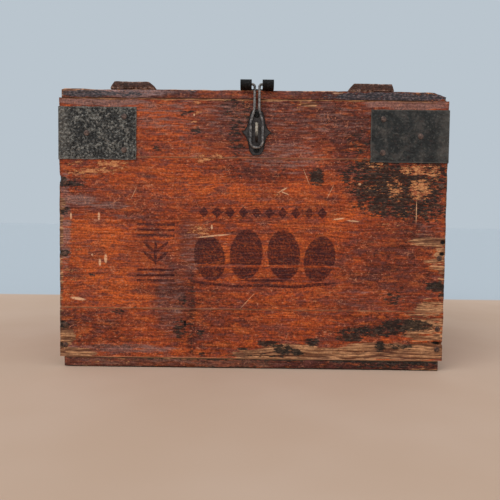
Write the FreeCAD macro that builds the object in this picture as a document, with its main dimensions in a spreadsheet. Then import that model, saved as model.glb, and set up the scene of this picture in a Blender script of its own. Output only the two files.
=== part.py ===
import FreeCAD, Part
import Sketcher
import math
import os
import re

# Egg carrier crate: a nailed pine box with a hinged lid, a wire hasp and layers of egg fillers.
# Frame: origin at the middle of the underside, front towards -Y, +Z up, millimetres.

vec = FreeCAD.Vector
doc = FreeCAD.newDocument("egg_carrier_crate")

# Driving dimensions
driving_sizes = [
    # Crate
    ("crate_width", 400, "over the front and back boards, along X"),
    ("crate_depth", 306, "over the front and back boards, along Y"),
    ("filler_headroom", 6.2, "top fillers to wall top"),
    ("wall_board", 12, "thickness of front and back boards"),
    ("end_board", 12, "thickness of end boards"),
    ("lower_board_width", 51.5, "front and back walls, lowest board"),
    ("upper_board_width", 59.7, "front and back walls, highest board"),
    ("end_lower_width", 142, "end walls, lower board"),
    ("board_seam", 0.3, "shrinkage gap between neighbouring boards"),
    ("board_easing", 0.8, "rounding of the boards' outer edges"),
    ("floor_board", 11, "thickness of the floor boards"),
    ("floor_end_inset", 3.5, "end walls over the floor boards"),
    ("floor_inset", 1, "front and back walls over the floor boards"),
    ("floor_middle_width", 110, "middle floor board"),
    ("floor_easing", 2, "rounding of the floor's lower edges"),
    # Lid
    ("lid_board", 9.2, "thickness of the lid boards"),
    ("lid_end_inset", 2.5, "lid boards' ends in from the crate's ends"),
    ("lid_gap", 0.3, "between wall top and lid"),
    ("lid_setback", 0.5, "lid's back edge in from the back wall's face"),
    ("lid_front_width", 98, "front lid board"),
    ("lid_back_width", 98, "back lid board"),
    ("batten_width", 47, "across the foot of a batten"),
    ("batten_rise", 8, "height of a batten"),
    ("batten_inset", 75.5, "lid's end to a batten's middle"),
    ("batten_shift", -2, "both battens off the crate's middle"),
    ("batten_foot", 1.5, "upright edge below a batten's slopes"),
    ("batten_inner_bevel", 6, "slope on the side towards the middle"),
    ("batten_outer_bevel", 2.5, "slope on the side towards the end"),
    ("batten_setback", 1, "batten's ends in from the lid's edges"),
    # Corner plates
    ("plate_reach", 80, "along the front or back"),
    ("plate_return", 58, "along the end"),
    ("plate_height", 54, "height of a corner plate"),
    ("plate_drop", 9, "wall top to plate top"),
    ("plate_sheet", 1, "sheet thickness"),
    ("plate_corner", 3, "rounding of the free corners"),
    ("plate_bend", 0.8, "rounding of the fold's outside"),
    ("plate_nail_inset", 12.8, "outer clout nails in from a leg's free end"),
    ("plate_nail_margin", 10, "outer clout nails in from the plate's top and bottom"),
    # Nails and screws
    ("clout_head", 3, "radius of a clout nail's head"),
    ("clout_shank", 1.1, "radius of a clout nail's shank"),
    ("clout_length", 10, "length of a clout nail under its head"),
    ("nail_head", 2.8, "radius of a wall nail's head"),
    ("nail_shank", 1.2, "radius of a wall nail's shank"),
    ("nail_length", 38, "length of a wall nail under its head"),
    ("nail_head_rise", 0.7, "height of any nail's head"),
    ("nail_sink", 0.3, "floor nails' heads in from the underside"),
    ("head_play", 0.15, "counterbore wider than a sunk nail's head"),
    ("batten_nail_length", 15, "length of a batten nail under its head"),
    ("first_nail", 12, "lowest wall nail over the floor boards"),
    ("second_nail", 18, "second wall nail below the lower seam"),
    ("third_nail", 34.5, "third wall nail below the end boards' seam"),
    ("fourth_nail", 27, "highest wall nail below the upper seam"),
    ("floor_nail_inset", 5, "floor nails in from the floor boards' ends"),
    ("floor_nail_edge", 14, "inner nails of the outer floor boards in from the seam"),
    ("floor_nail_middle", 20, "nails of the middle floor board in from its seams"),
    ("floor_nail_wall", 36, "outer floor nails in from the front and back walls"),
    ("batten_nail_edge", 20, "batten nails in from the lid's edges and seams"),
    ("batten_nail_zigzag", 8, "batten nails off the batten's middle"),
    ("screw_head", 3.2, "radius of a screw's head"),
    ("screw_head_rise", 1.3, "height of a screw's head"),
    ("screw_shank", 1.4, "radius of a screw's shank"),
    ("screw_length", 8.4, "length of a screw under its head"),
    ("flush_head_rise", 0.2, "height of the flush screws' heads on the staple plate"),
    # Hinges
    ("hinge_clearance", 5, "hinge to the foot of the nearer batten"),
    ("hinge_width", 39, "along the pin"),
    ("hinge_sheet", 1.8, "leaf thickness"),
    ("knuckle_radius", 4, "outside of the rolled knuckles"),
    ("hinge_pin", 1.7, "radius of the hinge pin"),
    ("pin_play", 0.08, "radial running clearance of pin and knuckle"),
    ("knuckle_gap", 0.4, "between neighbouring knuckles and cut-outs"),
    ("lid_leaf_reach", 56, "lid leaf, pin axis to end"),
    ("wall_leaf_reach", 50, "wall leaf, pin axis to end"),
    ("leaf_screw_inset", 8, "screws in from a leaf's edges"),
    ("leaf_screw_step", 20, "middle screw beyond the outer two, along the leaf"),
    ("leaf_corner", 5, "rounding of a leaf's free corners"),
    ("hinge_pin_end", 1.2, "pin past the knuckles at each end"),
    # Hasp and staple
    ("hasp_offset", 3.2, "hasp's middle, right of the crate's middle"),
    ("hasp_wire_radius", 1.3, "wire of the loop"),
    ("hasp_reach", 63.7, "pin axis to the loop's lowest centreline"),
    ("hasp_neck", 2.4, "half distance of the two strands"),
    ("hasp_loop", 6.1, "half width of the loop, centreline"),
    ("hasp_flare_start", 25, "pin axis to the start of the flare"),
    ("hasp_flare_end", 38, "pin axis to the end of the flare"),
    ("hasp_play", 0.6, "gap of loop and staple plate"),
    ("eye_play", 0.35, "gap of wire and eye"),
    ("hasp_shoulder", 2.6, "bend of the wire below its pins"),
    ("hasp_flare", 14, "bends of the flare"),
    ("eye_pin_reach", 0.5, "wire's ends short of the eyes' outer ends"),
    ("eye_radius", 4.8, "outside of the rolled eyes"),
    ("eye_length", 11.5, "length of one eye"),
    ("eye_gap", 11, "between the two eyes"),
    ("notch_play", 2, "hasp's leaf cut back behind the wire"),
    ("hasp_sheet", 1.6, "thickness of the hasp's leaf"),
    ("hasp_leaf_reach", 46, "hasp's leaf, pin axis to end"),
    ("staple_plate_sheet", 1.5, "thickness of the staple plate"),
    ("staple_plate_height", 47, "over the two lobes"),
    ("staple_plate_width", 30, "over the two side points"),
    ("staple_lobe", 5.5, "half width of a lobe"),
    ("staple_lobe_round", 7, "rounding of a lobe"),
    ("staple_point_round", 1.5, "rounding of a side point"),
    ("staple_wire", 1.45, "radius of the staple's wire"),
    ("staple_height", 17.4, "between the legs' centrelines"),
    ("staple_stand", 13.5, "wall face to the crown's outside"),
    ("staple_drop", 48, "hasp's pin axis to the staple's middle"),
    ("staple_leg", 11, "length of the legs inside the wall"),
    ("staple_bend", 3.5, "bends of the staple"),
    # Egg fillers
    ("cells_along", 8, "egg cells along X"),
    ("cells_across", 6, "egg cells along Y"),
    ("filler_layers", 4, "layers of fillers"),
    ("strip_board", 2, "thickness of a filler strip"),
    ("strip_height", 63, "height of a filler strip"),
    ("strip_play", 0.15, "clearance each side of a strip in a slot"),
    ("flat_board", 2.5, "thickness of a flat"),
    ("filler_play", 0.5, "fillers clear of the walls"),
]

sheet = doc.addObject("Spreadsheet::Sheet", "sizes")
for row, (alias, value, note) in enumerate(driving_sizes, start=1):
    sheet.set("A%d" % row, alias)
    sheet.set("B%d" % row, str(value))
    sheet.setAlias("B%d" % row, alias)
    sheet.set("C%d" % row, note)
doc.recompute()

# Places worked out from the driving dimensions, as formulas on the sheet's aliases
places = {
    "front": "(-crate_depth / 2)",
    "wall_height": "(filler_layers * layer_rise + filler_headroom)",
    "wall_top": "(floor_board + wall_height)",
    "lid_low": "(wall_top + lid_gap)",
    "lid_top": "(lid_low + lid_board)",
    "half_floor": "(crate_width / 2 - floor_end_inset)",
    "half_lid": "(crate_width / 2 - lid_end_inset)",
    "batten_offset": "(half_lid - batten_inset)",
    "hinge_offset": "(batten_offset + batten_shift - batten_width / 2 - hinge_clearance - hinge_width / 2)",
    "inner_half_width": "(crate_width / 2 - end_board)",
    "inner_half_depth": "(crate_depth / 2 - wall_board)",
    "upper_seam": "(wall_top - upper_board_width)",
    "lower_seam": "(floor_board + lower_board_width)",
    "end_seam": "(floor_board + end_lower_width)",
    "plate_top": "(wall_top - plate_drop)",
    "pin_z": "(lid_top + knuckle_radius)",
    "knuckle_length": "((hinge_width - 2 * knuckle_gap) / 3)",
    "lid_back": "(crate_depth / 2 - lid_setback)",
    "pin_y": "(crate_depth / 2 + knuckle_radius)",
    "plate_low": "(plate_top - plate_height)",
    "batten_top": "(lid_top + batten_rise)",
    "fillers_low": "(floor_board + flat_board)",
    "leaf_cut": "(knuckle_radius + knuckle_gap)",
    "hasp_y": "(front - staple_plate_sheet - hasp_play - hasp_wire_radius)",
    "hasp_z": "(lid_top + eye_radius)",
    "staple_z": "(hasp_z - staple_drop)",
    "cell_x": "(2 * inner_half_width / cells_along)",
    "cell_y": "(2 * inner_half_depth / cells_across)",
    "layer_rise": "(flat_board + strip_height)",
}
alias_names = {alias for alias, value, note in driving_sizes}


def size(alias):
    """Value of one cell of the sheet."""
    return float(sheet.get(alias))


def formula(text):
    """Spell a formula out in the sheet's aliases."""
    def spelled(match):
        word = match.group(0)
        if word in places:
            return formula(places[word])
        return "sizes." + word if word in alias_names else word
    return re.sub(r"[a-z][a-z_]*", spelled, str(text))


def bind(thing, path, text):
    thing.setExpression(path, formula(text))


# The four walls as panels: local x to the right and local y inwards, as seen from outside
panels = {
    "front": (0, None, "front"),
    "back": (180, None, "crate_depth / 2"),
    "right": (90, "crate_width / 2", None),
    "left": (-90, "-crate_width / 2", None),
}
sub_parts = []


def new_body(label, panel=None):
    """An empty body, in the crate's frame or a wall's."""
    body = doc.addObject("PartDesign::Body", label)
    body.Label = label
    sub_parts.append(body)
    if panel:
        turn, along_x, along_y = panels[panel]
        body.Placement = FreeCAD.Placement(vec(0, 0, 0), FreeCAD.Rotation(vec(0, 0, 1), turn))
        if along_x:
            bind(body, "Placement.Base.x", along_x)
        if along_y:
            bind(body, "Placement.Base.y", along_y)
    return body


def new_sketch(body, plane, offset=None):
    """A sketch on one of the body's own origin planes."""
    sketch = body.newObject("Sketcher::SketchObject", body.Label + "_sketch")
    support = [part for part in body.Origin.OriginFeatures if part.Role == plane][0]
    sketch.AttachmentSupport = [(support, "")]
    sketch.MapMode = "FlatFace"
    if offset:
        bind(sketch, "AttachmentOffset.Base.z", offset)
    return sketch


def pin_point(sketch, geometry, point, x, y):
    """Hold one point of a sketch at a place given by two formulas."""
    for kind, text in (("DistanceX", x), ("DistanceY", y)):
        rule = sketch.addConstraint(Sketcher.Constraint(kind, -1, 1, geometry, point, 1.0))
        bind(sketch, "Constraints[%d]" % rule, text)


def draw_outline(sketch, corners):
    """A closed outline of straight edges through the corners."""
    first = sketch.GeometryCount
    count = len(corners)
    turn = 2 * math.pi / count
    rough = [vec(math.cos(turn * i), math.sin(turn * i), 0) for i in range(count)]
    edges = [Part.LineSegment(rough[i], rough[(i + 1) % count]) for i in range(count)]
    sketch.addGeometry(edges, False)
    for i in range(count):
        sketch.addConstraint(Sketcher.Constraint("Coincident", first + i, 2, first + (i + 1) % count, 1))
    for i, (x, y) in enumerate(corners):
        pin_point(sketch, first + i, 1, x, y)


def draw_rectangle(sketch, left, low, right, high):
    draw_outline(sketch, [(left, low), (right, low), (right, high), (left, high)])


def draw_circles(sketch, centres, radius):
    for x, y in centres:
        circle = sketch.addGeometry(Part.Circle(vec(1, 1, 0), vec(0, 0, 1), 1), False)
        pin_point(sketch, circle, 3, x, y)
        rule = sketch.addConstraint(Sketcher.Constraint("Radius", circle, 1.0))
        bind(sketch, "Constraints[%d]" % rule, radius)


def settle(body):
    """Bring one body up to date."""
    doc.recompute([body])


def pad(body, sketch, length, inwards=False):
    """Thicken a sketch; on a wall's face, inwards goes into the crate."""
    feature = body.newObject("PartDesign::Pad", body.Label + "_pad")
    feature.Profile = sketch
    bind(feature, "Length", length)
    feature.Reversed = inwards
    return feature


def pocket(body, sketch, depth, outwards=False):
    """Cut a sketch into the body, against the sketch's normal or along it."""
    settle(body)
    before = body.Shape.Volume
    feature = body.newObject("PartDesign::Pocket", body.Label + "_pocket")
    feature.Profile = sketch
    bind(feature, "Length", depth)
    feature.Reversed = outwards
    settle(body)
    if body.Shape.Volume >= before:
        raise RuntimeError("the pocket of %s cuts nothing" % body.Label)
    return feature


def edges_where(shape, wanted):
    """Names of the shape's straight edges that a test on their two ends picks."""
    names = []
    for number, edge in enumerate(shape.Edges, start=1):
        ends = [vertex.Point for vertex in edge.Vertexes]
        if len(ends) == 2 and isinstance(edge.Curve, Part.Line) and wanted(*ends):
            names.append("Edge%d" % number)
    return names


def round_edges(body, wanted, radius):
    """Fillet the picked edges of the body's last feature."""
    settle(body)
    last = body.Tip
    names = edges_where(last.Shape, wanted)
    if not names:
        raise RuntimeError("no edge to round on %s" % body.Label)
    feature = body.newObject("PartDesign::Fillet", body.Label + "_fillet")
    feature.Base = (last, names)
    bind(feature, "Radius", radius)
    return feature


def outer_long_edges(along, across, level):
    """Edges along one axis, with both ends at one level of another."""
    def wanted(start, end):
        runs = abs(getattr(end - start, along)) > (end - start).Length - 1e-6
        return runs and abs(getattr(start, across) - level) < 1e-6
    return wanted


def round_rims(body, axis, side, radius):
    """Fillet the circles at one end of the body, such as the tops of nail heads."""
    settle(body)
    last = body.Tip
    box = last.Shape.BoundBox
    level = getattr(box, axis.upper() + ("Max" if side > 0 else "Min"))
    names = [
        "Edge%d" % number
        for number, edge in enumerate(last.Shape.Edges, start=1)
        if isinstance(edge.Curve, Part.Circle) and abs(getattr(edge.Curve.Center, axis) - level) < 1e-6
    ]
    if not names:
        raise RuntimeError("no rim to round on %s" % body.Label)
    feature = body.newObject("PartDesign::Fillet", body.Label + "_rims")
    feature.Base = (last, names)
    bind(feature, "Radius", radius)
    return feature


def drill(body, plane, offset, centres, radius, depth, outwards=False):
    """Round holes from a plane into the body."""
    if centres:
        sketch = new_sketch(body, plane, offset)
        draw_circles(sketch, centres, radius)
        pocket(body, sketch, depth, outwards)


def fasteners(label, panel, plane, offset, centres, head, rise, shank, length):
    """Nails or screws driven from one face: the heads stand on it, the shanks go in."""
    body = new_body(label, panel)
    heads = new_sketch(body, plane, offset)
    draw_circles(heads, centres, head)
    pad(body, heads, rise)
    round_rims(body, "y" if plane == "XZ_Plane" else "z", -1 if plane == "XZ_Plane" else 1, "%s / 2" % rise)
    shanks = new_sketch(body, plane, offset)
    draw_circles(shanks, centres, shank)
    pad(body, shanks, length, inwards=True)
    return body


def bent_wire(label, points, wire_radius):
    """Round wire along straight runs with an arc at each inner point: (place, bend radius)."""
    edges = []
    start = points[0][0]
    for i in range(1, len(points) - 1):
        corner, bend = points[i]
        back = (points[i - 1][0] - corner).normalize()
        ahead = (points[i + 1][0] - corner).normalize()
        half_turn = (math.pi - back.getAngle(ahead)) / 2
        reach = bend * math.tan(half_turn)
        first = corner + back * reach
        last = corner + ahead * reach
        inward = (back + ahead).normalize()
        middle = corner + inward * (bend / math.cos(half_turn) - bend)
        if (first - start).Length > 1e-4:
            edges.append(Part.LineSegment(start, first).toShape())
        edges.append(Part.Arc(first, middle, last).toShape())
        start = last
    edges.append(Part.LineSegment(start, points[-1][0]).toShape())
    path = Part.Wire(edges)
    along = (points[1][0] - points[0][0]).normalize()
    section = Part.Wire(Part.Circle(points[0][0], along, wire_radius).toShape())
    piece = doc.addObject("Part::Feature", label)
    piece.Label = label
    piece.Shape = Part.Solid(path.makePipeShell([section], True, False))
    sub_parts.append(piece)
    return piece


# Nail and screw places, as (local x, z) on a wall or (x, y) seen from above
wall_nails = {
    "lower": ["floor_board + first_nail", "lower_seam - second_nail"],
    "middle": ["end_seam - third_nail", "upper_seam - fourth_nail"],
    "upper": [],
}
end_nails = {"lower": wall_nails["lower"] + wall_nails["middle"][:1], "upper": wall_nails["middle"][1:]}


def both_ends(heights):
    """Wall nails into the middle of both end boards' thickness."""
    return [(sign + "(crate_width / 2 - end_board / 2)", z) for z in heights for sign in ("-", "")]


def plate_nails(half, reach):
    """Three clout nails on each leg of the two corner plates of one wall."""
    outer = "(%s - plate_nail_inset)" % reach
    inner = "(%s * 3 / 7)" % outer
    spots = [
        (outer, "plate_low + plate_height - plate_nail_margin"),
        (inner, "plate_low + plate_height / 2"),
        (outer, "plate_low + plate_nail_margin"),
    ]
    return [("%s(%s - %s)" % (sign, half, along), z) for sign in ("-", "") for along, z in spots]


plate_nails_wide = plate_nails("crate_width / 2", "plate_reach")
plate_nails_deep = plate_nails("crate_depth / 2", "plate_return")
staple_legs = [("hasp_offset", "staple_z %s staple_height / 2" % sign) for sign in "+-"]
staple_screws = [("hasp_offset", "staple_z %s (staple_plate_height / 2 - staple_lobe)" % sign) for sign in "+-"]
hinge_sides = {"left": "-", "right": ""}


def leaf_screws(side, end):
    """Three screws of a hinge leaf; end is a formula for the leaf's free end and the way back."""
    middle = hinge_sides[side] + "hinge_offset"
    free_end, back = end
    return [
        ("%s - hinge_width / 2 + leaf_screw_inset" % middle, "%s %s leaf_screw_inset" % (free_end, back)),
        ("%s + hinge_width / 2 - leaf_screw_inset" % middle, "%s %s leaf_screw_inset" % (free_end, back)),
        (middle, "%s %s (leaf_screw_inset + leaf_screw_step)" % (free_end, back)),
    ]


wall_leaf_screws = {side: leaf_screws(side, ("pin_z - wall_leaf_reach", "+")) for side in hinge_sides}
lid_leaf_screws = {side: leaf_screws(side, ("pin_y - lid_leaf_reach", "+")) for side in hinge_sides}
hasp_screws = [
    ("hasp_offset %s (eye_gap / 2 + eye_length - leaf_screw_inset)" % sign, "hasp_y + hasp_leaf_reach - leaf_screw_inset")
    for sign in "+-"
]
floor_nails = {
    "front": ["-inner_half_depth + floor_nail_wall", "-floor_middle_width / 2 - floor_nail_edge"],
    "middle": ["-floor_middle_width / 2 + floor_nail_middle", "floor_middle_width / 2 - floor_nail_middle"],
    "back": ["floor_middle_width / 2 + floor_nail_edge", "inner_half_depth - floor_nail_wall"],
}
floor_nail_x = "(half_floor - floor_nail_inset)"
batten_nails = {
    "front": ["front + batten_nail_edge", "front + lid_front_width - batten_nail_edge"],
    "middle": ["front + lid_front_width + batten_nail_edge", "lid_back - lid_back_width - batten_nail_edge"],
    "back": ["lid_back - lid_back_width + batten_nail_edge", "lid_back - batten_nail_edge"],
}


def batten_nail_places(board, side):
    """Nails of one batten in one lid board, in a zigzag."""
    middle = hinge_sides[side] + "batten_offset + batten_shift"
    return [("%s %s batten_nail_zigzag" % (middle, turn), y) for y, turn in zip(batten_nails[board], "-+")]


# Front and back walls, three boards each
clout_depth = "clout_length - plate_sheet"
wall_boards = {
    "lower": ("floor_board", "lower_seam"),
    "middle": ("lower_seam + board_seam", "upper_seam - board_seam"),
    "upper": ("upper_seam", "wall_top"),
}
for panel in ("front", "back"):
    for board, (low, high) in wall_boards.items():
        body = new_body("%s_board_%s" % (panel, board), panel)
        sketch = new_sketch(body, "XZ_Plane")
        draw_rectangle(sketch, "-crate_width / 2", low, "crate_width / 2", high)
        pad(body, sketch, "wall_board", inwards=True)
        round_edges(body, outer_long_edges("x", "y", 0), "board_easing")
        drill(body, "XZ_Plane", None, both_ends(wall_nails[board]), "nail_shank", "wall_board")
        if board == "upper":
            drill(body, "XZ_Plane", None, plate_nails_wide, "clout_shank", clout_depth)
        if board == "upper" and panel == "front":
            drill(body, "XZ_Plane", None, staple_legs, "staple_wire", "staple_leg")
            drill(body, "XZ_Plane", None, staple_screws, "screw_shank", "screw_length - staple_plate_sheet")
        if board == "upper" and panel == "back":
            for side in hinge_sides:
                drill(body, "XZ_Plane", None, wall_leaf_screws[side], "screw_shank", "screw_length - hinge_sheet")

# End walls, two boards each, between the front and the back
end_boards = {
    "lower": ("floor_board", "end_seam - board_seam"),
    "upper": ("end_seam", "wall_top"),
}
for panel in ("left", "right"):
    for board, (low, high) in end_boards.items():
        body = new_body("%s_end_board_%s" % (panel, board), panel)
        sketch = new_sketch(body, "XZ_Plane")
        draw_rectangle(sketch, "-inner_half_depth", low, "inner_half_depth", high)
        pad(body, sketch, "end_board", inwards=True)
        round_edges(body, outer_long_edges("x", "y", 0), "board_easing")
        heads = [("end_board / 2", z) for z in end_nails[board]]
        deep = "nail_length - wall_board"
        drill(body, "YZ_Plane", "-inner_half_depth", heads, "nail_shank", deep, outwards=True)
        drill(body, "YZ_Plane", "inner_half_depth", heads, "nail_shank", deep)
        if board == "upper":
            drill(body, "XZ_Plane", None, plate_nails_deep, "clout_shank", clout_depth)
        if board == "lower":
            below = [(y, "crate_width / 2 - " + floor_nail_x) for row in floor_nails.values() for y in row]
            floor_grip = "nail_length + nail_sink + nail_head_rise - floor_board"
            drill(body, "XY_Plane", "floor_board", below, "nail_shank", floor_grip, outwards=True)

# Floor, three boards across the crate, nailed up into the end walls
floor_boards = {
    "front": ("front + floor_inset", "-floor_middle_width / 2 - board_seam"),
    "middle": ("-floor_middle_width / 2", "floor_middle_width / 2"),
    "back": ("floor_middle_width / 2 + board_seam", "crate_depth / 2 - floor_inset"),
}
for board, (low, high) in floor_boards.items():
    body = new_body("floor_board_%s" % board)
    sketch = new_sketch(body, "XY_Plane")
    draw_rectangle(sketch, "-half_floor", low, "half_floor", high)
    pad(body, sketch, "floor_board")
    round_edges(body, outer_long_edges("x", "z", 0), "floor_easing")
    centres = [(sign + floor_nail_x, y) for y in floor_nails[board] for sign in ("-", "")]
    drill(body, "XY_Plane", None, centres, "nail_shank", "floor_board", outwards=True)
    counterbore = "nail_sink + nail_head_rise"
    drill(body, "XY_Plane", None, centres, "nail_head + head_play", counterbore, outwards=True)

# Corner plates: folded sheet round the upper corners, with holes for their clout nails
corners = {"front_left": ("-", "-"), "front_right": ("", "-"), "back_left": ("-", ""), "back_right": ("", "")}
for corner, (x_sign, y_sign) in corners.items():
    body = new_body("corner_plate_%s" % corner)
    sketch = new_sketch(body, "XY_Plane", "plate_low")
    end_x = x_sign + "(crate_width / 2 - plate_reach)"
    face_x = x_sign + "(crate_width / 2)"
    skin_x = x_sign + "(crate_width / 2 + plate_sheet)"
    end_y = y_sign + "(crate_depth / 2 - plate_return)"
    face_y = y_sign + "(crate_depth / 2)"
    skin_y = y_sign + "(crate_depth / 2 + plate_sheet)"
    draw_outline(sketch, [
        (end_x, skin_y), (skin_x, skin_y), (skin_x, end_y), (face_x, end_y), (face_x, face_y), (end_x, face_y),
    ])
    pad(body, sketch, "plate_height")

    def at_fold(start, end):
        far = min(abs(start.x) - size("crate_width") / 2, abs(start.y) - size("crate_depth") / 2)
        return abs(start.z - end.z) > 1 and far > size("plate_sheet") / 2

    def at_free_corner(start, end):
        return abs((end - start).Length - size("plate_sheet")) < 1e-6

    round_edges(body, at_fold, "plate_bend")
    round_edges(body, at_free_corner, "plate_corner")
    front_offset = "crate_depth / 2 + plate_sheet" if y_sign else "-crate_depth / 2"
    end_offset = "-crate_width / 2" if x_sign else "crate_width / 2 + plate_sheet"
    wide = plate_nails_wide[:3] if x_sign else plate_nails_wide[3:]
    deep = plate_nails_deep[:3] if y_sign else plate_nails_deep[3:]
    drill(body, "XZ_Plane", front_offset, wide, "clout_shank", "plate_sheet")
    drill(body, "YZ_Plane", end_offset, deep, "clout_shank", "plate_sheet")

for panel, centres in (
    ("front", plate_nails_wide),
    ("back", plate_nails_wide),
    ("left", plate_nails_deep),
    ("right", plate_nails_deep),
):
    fasteners("%s_plate_nails" % panel, panel, "XZ_Plane", "plate_sheet", centres,
              "clout_head", "nail_head_rise", "clout_shank", "clout_length")

# Wall nails from the front and the back, floor nails from below
for panel in ("front", "back"):
    centres = both_ends(wall_nails["lower"] + wall_nails["middle"])
    fasteners("%s_wall_nails" % panel, panel, "XZ_Plane", None, centres,
              "nail_head", "nail_head_rise", "nail_shank", "nail_length")
centres = [
    (sign + floor_nail_x, y) for row in floor_nails.values() for y in row for sign in ("-", "")
]
floor_nails_body = fasteners("floor_nails", None, "XY_Plane", "-nail_sink - nail_head_rise", centres,
                             "nail_head", "nail_head_rise", "nail_shank", "nail_length")
floor_nails_body.Placement = FreeCAD.Placement(vec(0, 0, 0), FreeCAD.Rotation(vec(1, 0, 0), 180))

# Staple on its plate
body = new_body("staple_plate", "front")
sketch = new_sketch(body, "XZ_Plane")
lobe_high = "staple_z + staple_plate_height / 2"
lobe_low = "staple_z - staple_plate_height / 2"
draw_outline(sketch, [
    ("hasp_offset - staple_plate_width / 2", "staple_z"),
    ("hasp_offset - staple_lobe", lobe_low),
    ("hasp_offset + staple_lobe", lobe_low),
    ("hasp_offset + staple_plate_width / 2", "staple_z"),
    ("hasp_offset + staple_lobe", lobe_high),
    ("hasp_offset - staple_lobe", lobe_high),
])
pad(body, sketch, "staple_plate_sheet")


def through_plate(at_point):
    """The plate's short corner edges, at its side points or at its lobes."""
    def wanted(start, end):
        short = abs((end - start).Length - size("staple_plate_sheet")) < 1e-6
        beside = abs(abs(start.x - size("hasp_offset")) - size("staple_plate_width") / 2) < 1e-6
        return short and beside == at_point
    return wanted


round_edges(body, through_plate(False), "staple_lobe_round")
round_edges(body, through_plate(True), "staple_point_round")
drill(body, "XZ_Plane", "staple_plate_sheet", staple_legs, "staple_wire", "staple_plate_sheet")
drill(body, "XZ_Plane", "staple_plate_sheet", staple_screws, "screw_shank", "staple_plate_sheet")
fasteners("staple_plate_screws", "front", "XZ_Plane", "staple_plate_sheet", staple_screws,
          "screw_head", "flush_head_rise", "screw_shank", "screw_length")

front_y = -size("crate_depth") / 2
layers_high = size("filler_layers") * (size("flat_board") + size("strip_height"))
lid_top = layers_high + sum(size(part) for part in ("floor_board", "filler_headroom", "lid_gap", "lid_board"))
hasp_y = front_y - size("staple_plate_sheet") - size("hasp_play") - size("hasp_wire_radius")
hasp_z = lid_top + size("eye_radius")
staple_x = size("hasp_offset")
staple_z = hasp_z - size("staple_drop")
leg_y = front_y + size("staple_leg")
crown_y = front_y - size("staple_stand") + size("staple_wire")
leg_high = staple_z + size("staple_height") / 2
leg_low = staple_z - size("staple_height") / 2
bent_wire("staple", [
    (vec(staple_x, leg_y, leg_high), 0),
    (vec(staple_x, crown_y, leg_high), size("staple_bend")),
    (vec(staple_x, crown_y, leg_low), size("staple_bend")),
    (vec(staple_x, leg_y, leg_low), 0),
], size("staple_wire"))

# Hasp: the wire loop that hangs from the eyes and goes over the staple
half_loop = [
    (size("eye_gap") / 2 + size("eye_length") - size("eye_pin_reach"), 0, 0),
    (size("hasp_neck"), 0, size("hasp_shoulder")),
    (size("hasp_neck"), size("hasp_flare_start"), size("hasp_flare")),
    (size("hasp_loop"), size("hasp_flare_end"), size("hasp_flare")),
    (size("hasp_loop"), size("hasp_reach"), size("hasp_loop") * 0.98),
]
left_half = [(vec(staple_x - x, hasp_y, hasp_z - down), bend) for x, down, bend in half_loop]
right_half = [(vec(staple_x + x, hasp_y, hasp_z - down), bend) for x, down, bend in reversed(half_loop)]
bent_wire("hasp_loop", left_half + right_half, size("hasp_wire_radius"))

# Hasp's leaf on the lid, with two rolled eyes past the front edge
body = new_body("hasp_leaf")
sketch = new_sketch(body, "XY_Plane", "lid_top")
leaf_end = "hasp_y + hasp_leaf_reach"
notch_end = "hasp_y + eye_radius + notch_play"
draw_outline(sketch, [
    ("hasp_offset - eye_gap / 2 - eye_length", "hasp_y"),
    ("hasp_offset - eye_gap / 2", "hasp_y"),
    ("hasp_offset - eye_gap / 2", notch_end),
    ("hasp_offset + eye_gap / 2", notch_end),
    ("hasp_offset + eye_gap / 2", "hasp_y"),
    ("hasp_offset + eye_gap / 2 + eye_length", "hasp_y"),
    ("hasp_offset + eye_gap / 2 + eye_length", leaf_end),
    ("hasp_offset - eye_gap / 2 - eye_length", leaf_end),
])
pad(body, sketch, "hasp_sheet")


def at_leaf_end(thickness, axis, side):
    """The two short corner edges at a leaf's free end."""
    def wanted(start, end):
        box = body.Shape.BoundBox
        level = getattr(box, axis.upper() + ("Max" if side > 0 else "Min"))
        short = abs((end - start).Length - size(thickness)) < 1e-6
        return short and abs(getattr(start, axis) - level) < 1e-6
    return wanted


settle(body)
round_edges(body, at_leaf_end("hasp_sheet", "y", 1), "leaf_corner")
for start in ("hasp_offset - eye_gap / 2 - eye_length", "hasp_offset + eye_gap / 2"):
    sketch = new_sketch(body, "YZ_Plane", start)
    draw_circles(sketch, [("hasp_y", "hasp_z")], "eye_radius")
    pad(body, sketch, "eye_length")
drill(body, "YZ_Plane", "hasp_offset + eye_gap / 2 + eye_length", [("hasp_y", "hasp_z")],
      "hasp_wire_radius + eye_play", "eye_gap + 2 * eye_length")
drill(body, "XY_Plane", "lid_top + hasp_sheet", hasp_screws, "screw_shank", "hasp_sheet")
fasteners("hasp_screws", None, "XY_Plane", "lid_top + hasp_sheet", hasp_screws,
          "screw_head", "screw_head_rise", "screw_shank", "screw_length")

# Lid: three boards held by two battens
lid_boards = {
    "front": ("front", "front + lid_front_width"),
    "middle": ("front + lid_front_width + board_seam", "lid_back - lid_back_width - board_seam"),
    "back": ("lid_back - lid_back_width", "lid_back"),
}
for board, (low, high) in lid_boards.items():
    body = new_body("lid_board_%s" % board)
    sketch = new_sketch(body, "XY_Plane", "lid_low")
    draw_rectangle(sketch, "-half_lid", low, "half_lid", high)
    pad(body, sketch, "lid_board")
    settle(body)
    top_level = body.Shape.BoundBox.ZMax
    round_edges(body, outer_long_edges("x", "z", top_level), "board_easing")
    for side in hinge_sides:
        drill(body, "XY_Plane", "lid_top", batten_nail_places(board, side), "nail_shank",
              "batten_nail_length + nail_head_rise - batten_rise")
        if board == "back":
            drill(body, "XY_Plane", "lid_top", lid_leaf_screws[side], "screw_shank", "screw_length - hinge_sheet")
    if board == "front":
        drill(body, "XY_Plane", "lid_top", hasp_screws, "screw_shank", "screw_length - hasp_sheet")

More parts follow.
